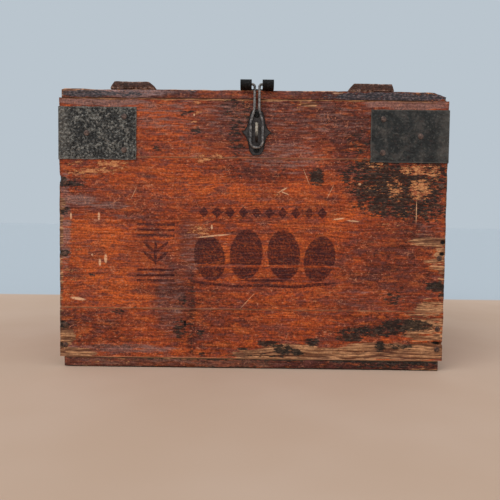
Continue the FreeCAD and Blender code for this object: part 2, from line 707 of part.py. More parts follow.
for side, sign in hinge_sides.items():
    body = new_body("batten_%s" % side)
    sketch = new_sketch(body, "XZ_Plane", "-lid_back + batten_setback")
    middle = sign + "batten_offset + batten_shift"
    inner, outer = ("+", "-") if sign else ("-", "+")
    foot_inner = "%s %s batten_width / 2" % (middle, inner)
    foot_outer = "%s %s batten_width / 2" % (middle, outer)
    draw_outline(sketch, [
        (foot_inner, "lid_top"),
        (foot_outer, "lid_top"),
        (foot_outer, "lid_top + batten_foot"),
        ("%s %s batten_outer_bevel" % (foot_outer, inner), "batten_top"),
        ("%s %s batten_inner_bevel" % (foot_inner, outer), "batten_top"),
        (foot_inner, "lid_top + batten_foot"),
    ])
    pad(body, sketch, "lid_back - front - 2 * batten_setback")
    for board in lid_boards:
        sunk = batten_nail_places(board, side)
        drill(body, "XY_Plane", "batten_top", sunk, "nail_shank", "batten_rise")
        drill(body, "XY_Plane", "batten_top", sunk, "nail_head + head_play", "nail_head_rise")
centres = [place for side in hinge_sides for board in lid_boards for place in batten_nail_places(board, side)]
fasteners("batten_nails", None, "XY_Plane", "batten_top - nail_head_rise", centres,
          "nail_head", "nail_head_rise", "nail_shank", "batten_nail_length")

# Strap hinges: a leaf on the back wall with two knuckles, a leaf on the lid with one, and the pin
for side, sign in hinge_sides.items():
    middle = sign + "hinge_offset"
    knuckles = ["%s - hinge_width / 2" % middle, "%s + hinge_width / 2 - knuckle_length" % middle]
    body = new_body("hinge_wall_leaf_%s" % side, "back")
    panel_middle = ("" if sign else "-") + "hinge_offset"
    sketch = new_sketch(body, "XZ_Plane")
    draw_outline(sketch, [
        (panel_middle + " - hinge_width / 2", "pin_z - wall_leaf_reach"),
        (panel_middle + " + hinge_width / 2", "pin_z - wall_leaf_reach"),
        (panel_middle + " + hinge_width / 2", "pin_z"),
        (panel_middle + " + hinge_width / 2 - knuckle_length", "pin_z"),
        (panel_middle + " + hinge_width / 2 - knuckle_length", "pin_z - leaf_cut"),
        (panel_middle + " - hinge_width / 2 + knuckle_length", "pin_z - leaf_cut"),
        (panel_middle + " - hinge_width / 2 + knuckle_length", "pin_z"),
        (panel_middle + " - hinge_width / 2", "pin_z"),
    ])
    pad(body, sketch, "hinge_sheet")
    settle(body)
    round_edges(body, at_leaf_end("hinge_sheet", "z", -1), "leaf_corner")
    for start in ("%s - hinge_width / 2", "%s + hinge_width / 2 - knuckle_length"):
        sketch = new_sketch(body, "YZ_Plane", start % panel_middle)
        draw_circles(sketch, [("-knuckle_radius", "pin_z")], "knuckle_radius")
        pad(body, sketch, "knuckle_length")
    drill(body, "YZ_Plane", panel_middle + " + hinge_width / 2", [("-knuckle_radius", "pin_z")],
          "hinge_pin + pin_play", "hinge_width")
    other = "right" if side == "left" else "left"
    drill(body, "XZ_Plane", "hinge_sheet", wall_leaf_screws[other], "screw_shank", "hinge_sheet")

    body = new_body("hinge_lid_leaf_%s" % side)
    sketch = new_sketch(body, "XY_Plane", "lid_top")
    draw_outline(sketch, [
        (middle + " - hinge_width / 2", "pin_y - lid_leaf_reach"),
        (middle + " + hinge_width / 2", "pin_y - lid_leaf_reach"),
        (middle + " + hinge_width / 2", "pin_y - leaf_cut"),
        (middle + " + knuckle_length / 2", "pin_y - leaf_cut"),
        (middle + " + knuckle_length / 2", "pin_y"),
        (middle + " - knuckle_length / 2", "pin_y"),
        (middle + " - knuckle_length / 2", "pin_y - leaf_cut"),
        (middle + " - hinge_width / 2", "pin_y - leaf_cut"),
    ])
    pad(body, sketch, "hinge_sheet")
    settle(body)
    round_edges(body, at_leaf_end("hinge_sheet", "y", -1), "leaf_corner")
    sketch = new_sketch(body, "YZ_Plane", middle + " - knuckle_length / 2")
    draw_circles(sketch, [("pin_y", "pin_z")], "knuckle_radius")
    pad(body, sketch, "knuckle_length")
    drill(body, "YZ_Plane", middle + " + knuckle_length / 2", [("pin_y", "pin_z")],
          "hinge_pin + pin_play", "knuckle_length")
    drill(body, "XY_Plane", "lid_top + hinge_sheet", lid_leaf_screws[side], "screw_shank", "hinge_sheet")

    body = new_body("hinge_pin_%s" % side)
    sketch = new_sketch(body, "YZ_Plane", middle + " - hinge_width / 2 - hinge_pin_end")
    draw_circles(sketch, [("pin_y", "pin_z")], "hinge_pin")
    pad(body, sketch, "hinge_width + 2 * hinge_pin_end")
    round_rims(body, "x", 1, "hinge_pin / 3")
    round_rims(body, "x", -1, "hinge_pin / 3")

centres = [place for side in hinge_sides for place in wall_leaf_screws[side]]
fasteners("hinge_wall_screws", "back", "XZ_Plane", "hinge_sheet", centres,
          "screw_head", "screw_head_rise", "screw_shank", "screw_length")
centres = [place for side in hinge_sides for place in lid_leaf_screws[side]]
fasteners("hinge_lid_screws", None, "XY_Plane", "lid_top + hinge_sheet", centres,
          "screw_head", "screw_head_rise", "screw_shank", "screw_length")

# Egg fillers: in each layer a flat, long strips slotted from above and cross strips slotted from below
cell_counts = {"x": int(size("cells_along")), "y": int(size("cells_across"))}
strip_x = ["-inner_half_width + cell_x * %d" % i for i in range(1, cell_counts["x"])]
strip_y = ["-inner_half_depth + cell_y * %d" % i for i in range(1, cell_counts["y"])]
end_x = "(inner_half_width - filler_play)"
end_y = "(inner_half_depth - filler_play)"
slot_depth = "strip_height / 2 + strip_play"
half_slot = "(strip_board / 2 + strip_play)"


def draw_bars(sketch, centres, half, ends, along_x):
    """Parallel bars, such as the plan of the strips or of their slots."""
    for middle in centres:
        across = ("%s - %s" % (middle, half), "%s + %s" % (middle, half))
        along = ("-" + ends, ends)
        (left, right), (low, high) = (along, across) if along_x else (across, along)
        draw_rectangle(sketch, left, low, right, high)


first_layer = {}
body = new_body("egg_flat_1")
sketch = new_sketch(body, "XY_Plane", "floor_board")
draw_rectangle(sketch, "-" + end_x, "-" + end_y, end_x, end_y)
pad(body, sketch, "flat_board")
first_layer["egg_flat"] = body

body = new_body("egg_strips_long_1")
sketch = new_sketch(body, "XY_Plane", "fillers_low")
draw_bars(sketch, strip_y, "strip_board / 2", end_x, along_x=True)
pad(body, sketch, "strip_height")
sketch = new_sketch(body, "XY_Plane", "fillers_low + strip_height")
draw_bars(sketch, strip_x, half_slot, end_y, along_x=False)
pocket(body, sketch, slot_depth)
first_layer["egg_strips_long"] = body

body = new_body("egg_strips_cross_1")
sketch = new_sketch(body, "XY_Plane", "fillers_low")
draw_bars(sketch, strip_x, "strip_board / 2", end_y, along_x=False)
pad(body, sketch, "strip_height")
sketch = new_sketch(body, "XY_Plane", "fillers_low")
draw_bars(sketch, strip_y, half_slot, end_x, along_x=True)
pocket(body, sketch, slot_depth, outwards=True)
first_layer["egg_strips_cross"] = body

for layer in range(1, int(size("filler_layers"))):
    for name, first in first_layer.items():
        copy = doc.addObject("Part::Compound", "%s_%d" % (name, layer + 1))
        copy.Label = "%s_%d" % (name, layer + 1)
        copy.Links = [first]
        bind(copy, "Placement.Base.z", "layer_rise * %d" % layer)
        sub_parts.append(copy)

# Check every object, then write one file for each sub-part
doc.recompute()
for thing in doc.Objects:
    if "Invalid" in thing.State or "Error" in thing.State:
        raise RuntimeError("%s is %s" % (thing.Label, thing.State))
for piece in sub_parts:
    if piece.Shape.isNull() or not piece.Shape.isValid():
        raise RuntimeError("%s has no valid shape" % piece.Label)
os.makedirs("parts", exist_ok=True)
for piece in sub_parts:
    piece.Shape.exportStep(os.path.join("parts", piece.Label + ".step"))
print("sub-parts:", len(sub_parts), "solids:", sum(len(piece.Shape.Solids) for piece in sub_parts))
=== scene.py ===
import math
import random
import bmesh
import bpy
import numpy as np
from mathutils import Matrix, Vector, noise


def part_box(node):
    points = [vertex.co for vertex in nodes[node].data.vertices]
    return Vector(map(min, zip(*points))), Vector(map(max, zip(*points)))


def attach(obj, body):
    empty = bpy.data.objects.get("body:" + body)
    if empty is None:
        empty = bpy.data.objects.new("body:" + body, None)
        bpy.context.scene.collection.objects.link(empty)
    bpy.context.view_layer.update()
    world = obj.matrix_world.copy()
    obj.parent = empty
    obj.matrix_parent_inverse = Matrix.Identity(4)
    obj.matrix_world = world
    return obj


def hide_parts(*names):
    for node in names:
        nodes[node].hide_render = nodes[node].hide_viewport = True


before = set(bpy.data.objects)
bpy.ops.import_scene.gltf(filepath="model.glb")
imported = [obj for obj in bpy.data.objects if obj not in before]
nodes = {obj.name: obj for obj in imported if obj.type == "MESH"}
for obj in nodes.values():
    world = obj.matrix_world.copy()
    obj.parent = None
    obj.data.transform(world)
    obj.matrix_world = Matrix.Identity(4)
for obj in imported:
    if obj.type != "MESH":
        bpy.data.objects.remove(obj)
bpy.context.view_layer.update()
print("frame loaded")


# shader helpers, all lengths in millimetres
def rgb(r, g, b):
    # screen colour 0-255 to the linear values that Blender wants
    def lin(c):
        c = c / 255
        return c / 12.92 if c <= 0.04045 else ((c + 0.055) / 1.055) ** 2.4
    return (lin(r), lin(g), lin(b), 1)


def put(kind, values=None, **props):
    # adds a node to the tree at work, linked to the sockets among its values
    node = tree.nodes.new("ShaderNode" + kind)
    for key, value in props.items():
        setattr(node, key, value)
    for key, value in (values or {}).items():
        if isinstance(value, bpy.types.NodeSocket):
            tree.links.new(value, node.inputs[key])
        else:
            node.inputs[key].default_value = value
    return node


def startMaterial(name):
    global tree  # every helper adds its nodes to this tree until the next material starts
    mat = bpy.data.materials.new(name)
    mat.use_nodes = True
    tree = mat.node_tree
    tree.nodes.clear()
    place = put("TexCoord").outputs["Object"]
    mm = put("VectorMath", {0: place, "Scale": 1000}, operation="SCALE").outputs[0]
    return mat, mm


def finishMaterial(mat, color, rough, bump, metal=0, depth=0.1, spec=0.5):
    # depth is the height in mm that a bump value of one stands for
    normal = put("Bump", {"Height": bump, "Distance": depth / 1000, "Strength": 1}).outputs[0]
    shader = put("BsdfPrincipled", {
        "Base Color": color, "Roughness": rough, "Metallic": metal, "Normal": normal,
        "Specular IOR Level": spec})
    out = put("OutputMaterial")
    tree.links.new(shader.outputs[0], out.inputs["Surface"])
    return mat


def stretch(vec, scale, shift=(0, 0, 0)):
    return put("Mapping", {"Vector": vec, "Scale": scale, "Location": shift}).outputs[0]


def fuzz(vec, scale=1, detail=4, rough=0.55):
    values = {"Vector": vec, "Scale": scale, "Detail": detail, "Roughness": rough}
    return put("TexNoise", values).outputs["Fac"]


def between(value, low, high, start=0.0, end=1.0):
    values = {"Value": value, "From Min": low, "From Max": high, "To Min": start, "To Max": end}
    return put("MapRange", values, interpolation_type="SMOOTHSTEP").outputs[0]


def calc(op, a, b=0.0, c=0.0):
    return put("Math", {0: a, 1: b, 2: c}, operation=op).outputs[0]


def times(a, b):
    return calc("MULTIPLY", a, b)


def mulAdd(a, b, c):
    return calc("MULTIPLY_ADD", a, b, c)


def apart(a, b):
    return calc("ABSOLUTE", calc("SUBTRACT", a, b))


def layered(fac, under, over, kind="MIX"):
    node = put("Mix", data_type="RGBA", blend_type=kind)
    for index, value in ((0, fac), (6, under), (7, over)):
        if isinstance(value, bpy.types.NodeSocket):
            tree.links.new(value, node.inputs[index])
        else:
            node.inputs[index].default_value = value
    return node.outputs[2]


def ramp(fac, stops):
    node = put("ValToRGB", {"Fac": fac})
    bar = node.color_ramp
    while len(bar.elements) < len(stops):
        bar.elements.new(0.5)
    for element, (place, color) in zip(bar.elements, stops):
        element.position = place
        element.color = color
    return node.outputs["Color"]


def painted(name):
    return put("Attribute", attribute_name=name, attribute_type="GEOMETRY").outputs["Fac"]


def roughened(mask, texture, amount, low, high):
    # a painted mask with a ragged edge
    ragged = mulAdd(calc("SUBTRACT", texture, 0.5), amount, mask)
    return between(ragged, low, high)


def slanted(vec, at, turn, scale):
    # the pattern is sized, then turned, then moved
    values = {"Vector": vec, "Location": at, "Rotation": turn, "Scale": scale}
    return put("Mapping", values, vector_type="TEXTURE").outputs[0]


def oval(vec, x, z, wide, high, turn=0, soft=0.3):
    # 1 inside a slanted ellipse on a face that looks along Y, 0 outside
    local = slanted(vec, (x, 0, z), (0, -math.radians(turn), 0), (wide, 1e6, high))
    reach = put("VectorMath", {0: local}, operation="LENGTH").outputs["Value"]
    return between(reach, 1 + soft, 1 - soft)


def most(values):
    total = values[0]
    for value in values[1:]:
        total = calc("MAXIMUM", total, value)
    return total


# mesh helpers, in metres unless a name or a note says mm
def gridBox(lo, hi, rounding, step):
    # rounded box cut into a grid, so that wear and dents have something to move
    bm = bmesh.new()
    size = hi - lo
    bmesh.ops.create_cube(bm, size=1)
    bmesh.ops.scale(bm, vec=size, verts=bm.verts)
    bmesh.ops.translate(bm, vec=(lo + hi) / 2, verts=bm.verts)
    bmesh.ops.bevel(bm, geom=bm.edges[:], offset=rounding, affect="EDGES", segments=2, profile=0.5,
                    material=-1)
    for axis in range(3):
        span = size[axis] - 2 * rounding
        cuts = round(span / step[axis]) - 1
        if cuts < 1:
            continue
        long = [e for e in bm.edges if abs((e.verts[0].co - e.verts[1].co)[axis]) > span * 0.98]
        bmesh.ops.subdivide_edges(bm, edges=long, cuts=cuts, use_grid_fill=True)
    return bm


def wearDown(bm, lo, hi, wear, reach, seed, sway=0.0002, grain=0, tight=()):
    # edges worn in unevenly, faces a little hollow along the grain; always inwards, so the box stays
    mid = (lo + hi) / 2
    for v in bm.verts:
        co = v.co.copy()
        gaps = [min(co[i] - lo[i], hi[i] - co[i]) for i in range(3)]
        first, second = sorted(range(3), key=lambda i: gaps[i])[:2]
        near = gaps[second]
        spot = co * 40
        spot[grain] *= 0.35
        if near < reach:
            rub = noise.noise(spot * 1.3 + Vector((seed, 0, 0)))
            rub += 0.6 * noise.noise(spot * 5 + Vector((0, seed, 0)))
            rub = max(0.12, 0.35 + rub) * wear * (1 - near / reach) ** 2
            if any(i in (first, second) and (co[i] > mid[i]) == (side > 0) for i, side in tight):
                rub *= 0.08  # against a neighbouring board
            for i in (first, second):
                inward = 1 if co[i] < mid[i] else -1
                v.co[i] += inward * rub * max(0, 1 - gaps[i] / reach)
        if gaps[first] < 1e-5:
            dip = 0.5 + 0.5 * noise.noise(spot * 0.8 + Vector((0, 0, seed)))
            v.co[first] += (1 if co[first] < mid[first] else -1) * sway * dip


def bite(bm, center, radii, push, seed=0, rough=0.12):
    # anything inside the ellipsoid is pushed out of it along push: a chip, a dent or a rounded corner
    way = Vector(push)
    scale = Vector((1 / radii[0], 1 / radii[1], 1 / radii[2]))
    for v in bm.verts:
        mm = v.co * 1000
        grow = 1 + rough * noise.noise(mm * 0.35 + Vector((seed, seed, 0)))
        p = (mm - Vector(center)) * scale / grow
        if p.length >= 1:
            continue
        d = way * scale / grow
        a, b, c = d.dot(d), p.dot(d), p.dot(p) - 1
        v.co += way * (-b + math.sqrt(b * b - a * c)) / a / 1000


def places(obj):
    # every vertex of a mesh, in mm
    co = np.empty(len(obj.data.vertices) * 3)
    obj.data.vertices.foreach_get("co", co)
    return co.reshape(-1, 3) * 1000


def fade(away, reach):
    # 1 at no distance, 0 from reach on
    return np.clip(1 - away / reach, 0, 1)


def only(kind, grown):
    return [part for part in grown if isinstance(part, kind)]


def keepOn(obj, name, value):
    # a value per vertex for the material to read; a second one under the same name adds to the first
    layer = obj.data.attributes.get(name) or obj.data.attributes.new(name, "FLOAT", "POINT")
    before = np.zeros(len(value), np.float32)
    layer.data.foreach_get("value", before)
    layer.data.foreach_set("value", np.maximum(before, value).astype(np.float32))


def paint(obj, masks, side, axes=(0, 2)):
    # soft-edged masks from ellipses (across, up, wide, high, strength) in mm, on the face beyond side only
    co = places(obj)
    off = co[:, side[0]] * side[1] < side[2]
    for name, spots in masks.items():
        value = np.zeros(len(co))
        for u, v, wide, high, strength in spots:
            away = ((co[:, axes[0]] - u) / wide) ** 2 + ((co[:, axes[1]] - v) / high) ** 2
            # full to 0.7 of the ellipse, gone at 1.4 times it
            value = np.maximum(value, strength * np.clip(1.35 - 0.7 * away, 0, 1))
        value[off] = 0
        keepOn(obj, name, value)


def weathering(seed, wide, low, high, worn=1.0):
    # marks for a face the photograph doesn't show: stains and bare wood mostly near its lower edge
    rng = random.Random(seed)
    masks = {}
    for name, count, size, flat, strength, sinks in (
            ("dark", 11, 17, 0.26, 0.75, 1.8), ("haze", 6, 34, 0.7, 0.8, 1), ("veil", 4, 34, 0.2, 0.5, 0.8),
            ("bare", 9, 34, 0.16, 0.8, 2.6), ("streaks", 12, 18, 0.35, 0.8, 1),
            ("bright", 7, 46, 0.6, 0.8, 1), ("deep", 7, 46, 0.6, 0.9, 1.2)):
        masks[name] = [(rng.uniform(-wide, wide), low + (high - low) * rng.random() ** sinks,
                        size * rng.uniform(0.5, 1.3), size * flat * rng.uniform(0.6, 1.3),
                        strength * worn * rng.uniform(0.6, 1.1)) for _ in range(count)]
    masks["bare"] += [(-wide, low, 30, 12, 0.7 * worn), (wide, low, 24, 16, 0.8 * worn)]
    return masks


def settle(bm, name, material, body, replaced=(), smooth=40):
    # makes the object, shades it and ties it to its CAD body
    bmesh.ops.recalc_face_normals(bm, faces=bm.faces)
    mesh = bpy.data.meshes.new(name)
    bm.to_mesh(mesh)
    bm.free()
    obj = bpy.data.objects.new(name, mesh)
    bpy.context.scene.collection.objects.link(obj)
    mesh.materials.append(material)
    mesh.shade_smooth()
    mesh.set_sharp_from_angle(angle=math.radians(smooth))
    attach(obj, body)
    if replaced:
        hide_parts(*replaced)
    return obj


def islands(name):
    # lowest and highest corner of each separate solid of a CAD node
    bm = bmesh.new()
    bm.from_mesh(nodes[name].data)
    bmesh.ops.remove_doubles(bm, verts=bm.verts, dist=1e-6)
    left = set(bm.verts)
    boxes = []
    while left:
        stack = [left.pop()]
        lo, hi = stack[0].co.copy(), stack[0].co.copy()
        while stack:
            v = stack.pop()
            lo = Vector(map(min, lo, v.co))
            hi = Vector(map(max, hi, v.co))
            for e in v.link_edges:
                other = e.other_vert(v)
                if other in left:
                    left.remove(other)
                    stack.append(other)
        boxes.append((lo, hi))
    bm.free()
    return sorted(boxes, key=lambda b: tuple(b[0]))


# a screw's slot in metres: where it is cut, half its width and how far it goes down
groove = {"cuts": (-0.00042, -0.00036, 0.00036, 0.00042), "half": 0.00038, "deep": 0.0007}


def driven(name, material, body, slot, axis, side, profile, slotted=False, tilt=0.03, wobble=0.05):
    # nails or screws: each one a turned profile (radius, height over the surface in mm), slightly crooked
    bm = bmesh.new()
    for number, (lo, hi) in enumerate(islands(name)):
        one = bmesh.new()
        rings = [one.verts.new((r / 1000, 0, h / 1000)) for r, h in profile]
        line = [one.edges.new(pair) for pair in zip(rings, rings[1:])]
        bmesh.ops.spin(one, geom=rings + line, cent=(0, 0, 0), axis=(0, 0, 1), angle=math.tau, steps=16,
                       use_merge=True, use_duplicate=False)
        bmesh.ops.remove_doubles(one, verts=one.verts, dist=1e-6)
        for v in one.verts:
            if v.co.z > 0:
                hit = noise.noise(v.co * 900 + Vector((number * 7, 3, 1)))
                v.co.z -= abs(hit) * wobble / 1000
                v.co.x *= 1 - 0.02 - 0.03 * noise.noise(v.co * 300 + Vector((number, 0, 5)))
        if slotted:
            turn = Matrix.Rotation(number * 1.9 + 0.4, 3, "Z")
            for off in groove["cuts"]:
                bmesh.ops.bisect_plane(one, geom=one.verts[:] + one.edges[:] + one.faces[:], dist=1e-7,
                                       plane_co=turn @ Vector((off, 0, 0)), plane_no=turn @ Vector((1, 0, 0)))
            top = profile[0][1] / 1000
            for v in one.verts:
                local = turn.transposed() @ v.co
                if abs(local.x) < groove["half"] and v.co.z > top * 0.25:
                    v.co.z -= min(groove["deep"], top * 0.7)
        lean = Matrix.Rotation(tilt * math.sin(number * 2.4), 3, "X") @ Matrix.Rotation(number * 1.3, 3, "Z")
        point = (lo + hi) / 2
        point[axis] = hi[axis] if side > 0 else lo[axis]
        point[axis] -= side * (profile[0][1] + 0.06) / 1000
        up = Vector((0, 0, 0))
        up[axis] = side
        stand = Vector((0, 0, 1)).rotation_difference(up).to_matrix()
        bmesh.ops.transform(one, matrix=Matrix.Translation(point) @ (stand @ lean).to_4x4(), verts=one.verts)
        scrap = bpy.data.meshes.new("scrap")
        one.to_mesh(scrap)
        one.free()
        bm.from_mesh(scrap)
        bpy.data.meshes.remove(scrap)
    return settle(bm, name + "_worn", material, body, (name,), smooth=35)


# stains and worn spots of the front, and darker spots round the hasp: (x, z, half width, half height,
# strength), in mm
frontMarks = {
    "dark": [
        (146, 194, 43, 21, 0.78), (182, 199, 18, 25, 0.62), (124, 211, 19, 10, 0.7), (152, 172, 41, 12, 0.68),
        (177, 165, 25, 9, 0.5), (134, 179, 27, 10, 0.55), (108, 203, 18, 14, 0.5), (66, 201, 7, 8, 0.85),
        (109, 234, 14, 18, 0.35), (162, 48, 27, 6, 0.85), (126, 41, 35, 5, 0.72), (103, 34, 14, 4, 0.8),
        (135, 26, 5, 5, 0.9), (156, 26, 14, 3, 0.55), (64, 29, 7, 4, 0.9), (18, 27, 12, 3, 0.8),
        (34, 21, 10, 5, 0.75), (48, 18, 6, 4, 0.7), (12, 14, 25, 2, 0.5), (-9, 21, 5, 2, 0.7),
        (192, 89, 10, 5, 0.9), (198, 81, 4, 5, 0.7), (147, 76, 10, 7, 0.45), (-197, 195, 5, 3, 1),
        (-189, 191, 13, 3.5, 0.7), (-195, 164, 6, 5, 0.55), (-195, 120, 6, 3, 0.9), (-197, 44, 6, 3.6, 0.95),
        (-198, 23, 3, 2, 0.9), (-166, 96, 3, 2, 0.8), (-53, 37, 5, 4, 0.55), (-51, 15, 4, 3, 0.55),
        # the spots near x -22 to 0, z 240 to 271 darken the wall round the hasp
        (-74, 41, 7, 10, 0.55), (-72, 71, 4, 6, 0.6), (-139, 59, 6, 3, 0.5), (-22, 271, 12, 12, 0.35),
        (-59, 246, 5, 4, 0.6), (-99, 229, 5, 2, 0.7), (-68, 265, 9, 2, 0.5), (-13, 260, 9, 27, 0.35),
        (192, 204, 8, 12, 0.6), (-62, 59, 3, 47, 0.3), (-18, 244, 7, 22, 0.45), (0, 240, 18, 20, 0.3),
    ],
    "haze": [
        (-83, 72, 17, 35, 0.8), (-29, 253, 27, 29, 0.75), (-90, 111, 18, 14, 0.5), (-1, 207, 8, 8, 0.6),
        (-163, 172, 39, 8, 0.6), (-158, 276, 43, 4, 0.9), (-55, 280, 62, 4, 0.4), (-116, 118, 16, 23, 0.4),
        (153, 137, 31, 21, 0.3), (144, 95, 41, 16, 0.45), (99, 264, 23, 16, 0.4), (20, 240, 34, 24, 0.7),
        (-64, 126, 11, 30, 0.85), (130, 76, 60, 12, 0.35), (-14, 252, 20, 26, 0.6), (70, 250, 26, 26, 0.5),
    ],
    "veil": [
        (-158, 276, 44, 4.5, 0.9), (-110, 270, 14, 8, 0.5), (-180, 175, 18, 5, 0.8),
        (-150, 169, 24, 3.4, 0.65), (-60, 262, 80, 20, 0.42), (60, 260, 80, 22, 0.4), (-84, 74, 16, 42, 0.4),
        (30, 222, 46, 16, 0.5), (-194, 150, 6, 60, 0.6), (130, 76, 62, 12, 0.3), (-140, 20, 60, 5, 0.6),
        (-64, 126, 12, 30, 0.4), (-128, 158, 18, 3, 0.5), (-60, 236, 20, 20, 0.3), (70, 252, 30, 20, 0.3),
        (160, 276, 44, 5, 0.95), (-90, 96, 18, 26, 0.35), (182, 148, 20, 8, 0.4),
    ],
    "bare": [
        (156, 21, 60, 8, 1.1), (83, 17, 64, 6, 1.2), (20, 15, 37, 5, 1.1), (42, 19, 30, 8, 1.0),
        (184, 44, 23, 25, 0.62), (188, 67, 16, 8, 0.6), (184, 136, 21, 6, 0.66), (196, 123, 7, 7, 0.7),
        (191, 114, 12, 7, 0.6), (197, 98, 4, 31, 0.5), (-194, 32, 9, 9, 1), (-186, 14.5, 22, 4.4, 1.3),
        (-198, 145, 2.5, 18, 0.7), (-70, 279.2, 132, 0.7, 0.9), (110, 279.2, 60, 0.6, 0.8),
        (57, 276, 9, 4, 0.6), (-199, 100, 2, 90, 0.62), (-197, 170, 4, 6, 0.7),
    ],
    "streaks": [
        (-145, 213, 16, 3.3, 0.95), (-160, 206, 21, 2.7, 0.9), (-137, 208, 12, 3, 0.8),
        (-183, 213, 10, 3, 0.6), (-180, 202, 12, 2, 0.8), (-168, 203, 26, 1.6, 0.95), (-52, 218, 8, 5, 0.85),
        (-39, 220, 9, 3, 0.9), (-59, 275, 6, 1.6, 1), (-57, 265, 6, 1.6, 1), (-62, 257, 6, 2, 0.6),
        (172, 189, 12, 11, 0.9), (184, 206, 10, 10, 0.7), (131, 193, 12, 10, 0.45), (148, 190, 9, 14, 0.7),
        (166, 209, 16, 6, 0.9), (125, 213, 14, 4, 0.7), (116, 190, 10, 5, 0.5), (-188, 110, 10, 60, 0.42),
        (-180, 40, 16, 24, 0.35), (163, 163, 14, 6, 0.5), (147, 152, 18, 6, 0.5), (183, 171, 8, 8, 0.4),
        (-54, 144, 14, 5, 0.75), (-46, 124, 12, 14, 0.35), (47, 275, 9, 7, 0.5), (-9, 275, 6, 6, 0.6),
        (28, 184, 7, 4, 0.5), (95, 165, 14, 4, 0.45), (153, 146, 23, 3, 0.45), (-50, 237, 12, 10, 0.35),
        (83, 21, 62, 6, 0.4),
    ],
    "bright": [
        (-163, 128, 35, 35, 0.9), (-137, 87, 31, 31, 0.7), (-96, 186, 62, 25, 0.5), (-174, 81, 26, 21, 0.6),
        (33, 218, 41, 10, 0.6), (44, 182, 31, 14, 0.7), (-3, 182, 25, 16, 0.55), (9, 83, 51, 12, 0.6),
        (51, 52, 41, 14, 0.5), (-106, 50, 31, 21, 0.45), (-54, 135, 14, 29, 0.7), (80, 188, 18, 16, 0.6),
        (-65, 227, 41, 8, 0.4), (-86, 257, 27, 14, 0.4), (38, 238, 21, 16, 0.25), (50, 89, 41, 14, 0.4),
        (3, 114, 93, 25, 0.35), (120, 150, 36, 18, 0.9), (-84, 134, 9, 12, 0.8), (-130, 110, 30, 16, 0.6),
    ],
    "deep": [
        (12, 204, 34, 12, 0.5), (60, 222, 50, 14, 0.35), (-10, 58, 80, 26, 0.3), (-147, 164, 53, 9, 0.4),
        (47, 264, 51, 18, 0.7), (99, 239, 23, 27, 0.9), (60, 244, 60, 16, 0.55), (28, 228, 34, 26, 0.75),
        (70, 250, 28, 28, 0.6), (10, 166, 64, 10, 0.4), (143, 137, 47, 23, 0.65), (154, 101, 45, 18, 0.6),
        (92, 74, 41, 16, 0.35), (-85, 82, 21, 41, 0.4), (-14, 258, 21, 25, 0.5), (-62, 59, 4, 47, 0.7),
        (-179, 49, 21, 25, 0.35), (-137, 34, 41, 14, 0.3), (-22, 36, 31, 18, 0.25), (-184, 185, 18, 14, 0.4),
        (-189, 107, 14, 14, 0.3), (165, 70, 31, 12, 0.4), (126, 53, 37, 12, 0.5),
    ],
}


def woodTextures(mm, look):
    # every noise that the wood is made of, drawn out along the grain
    along = "xyz".index(look["grain"])

    def drawnOut(fine, coarse):
        scale = [fine] * 3
        scale[along] = coarse
        return stretch(mm, scale, shift=[look["seed"] * step for step in (37.1, 11.3, 5.7)])

    waver = times(fuzz(drawnOut(0.03, 0.008), 1, 3, 0.5), look["waver"])
    waver = put("CombineXYZ", {0: waver, 1: waver, 2: waver}).outputs[0]
    bent = put("VectorMath", {0: mm, 1: waver}, operation="ADD").outputs[0]
    scale = [0.42] * 3
    scale[along] = 0.006
    tex = {"rings": fuzz(stretch(bent, scale, shift=(look["seed"], 3, 8)), 1, 2, 0.45)}
    for name, fine, coarse, detail, rough in (
            ("fine", 1.1, 0.05, 3, 0.6), ("broad", 0.022, 0.009, 3, 0.55), ("patch", 0.09, 0.05, 4, 0.6),
            ("mottle", 0.35, 0.2, 5, 0.7), ("speck", 0.62, 0.34, 3, 0.75), ("crumb", 0.5, 0.5, 3, 0.8),
            ("streaky", 0.6, 0.17, 4, 0.72), ("tint", 0.2, 0.05, 4, 0.65), ("veil", 0.4, 0.06, 4, 0.6),
            ("hair", 0.07, 0.05, 2, 0.5), ("bare", 0.45, 0.05, 5, 0.68), ("black", 0.42, 0.13, 5, 0.78),
            ("drift", 0.2, 0.02, 2, 0.5)):
        tex[name] = fuzz(drawnOut(fine, coarse), 1, detail, rough)

    # saw ribs, one every 2.7 mm: their light and shade painted into the colour, not into the bump
    across = put("VectorMath", {0: bent, 1: [0 if i == along else 1 for i in range(3)]},
                 operation="DOT_PRODUCT").outputs["Value"]
    wave = mulAdd(across, 2.35, times(tex["drift"], 16))
    strength = between(tex["broad"], 0.38, 0.6, look["ribs"] * 0.3, look["ribs"])
    tex["ribs"] = times(calc("SINE", wave), strength)
    tex["lines"] = most([between(tex["rings"], 0.5, 0.36, 0, 0.7), between(tex["fine"], 0.5, 0.34, 0, 0.75)])
    return tex


def scuffMarks(mm, tex):
    # small pale flecks, hair-thin scratches and slanted strokes
    flecks = times(between(tex["speck"], 0.58, 0.66), between(tex["mottle"], 0.4, 0.6))
    strokes = []
    for lean, length in ((0.5, 9), (-0.8, 7), (1.2, 12), (-1.4, 8)):
        turned = slanted(mm, (lean * 40, 0, 0), (lean, lean, 0), (1.3, 1.3, length))
        strokes.append(between(fuzz(turned, 1, 1, 0.5), 0.71, 0.77))
    strokes = times(most(strokes), between(tex["patch"], 0.4, 0.6, 0.15, 1))
    hair = apart(tex["hair"], 0.5)
    hair = times(between(hair, 0.007, 0.002), between(tex["patch"], 0.5, 0.62, 0, 0.7))
    return most([flecks, hair, strokes])


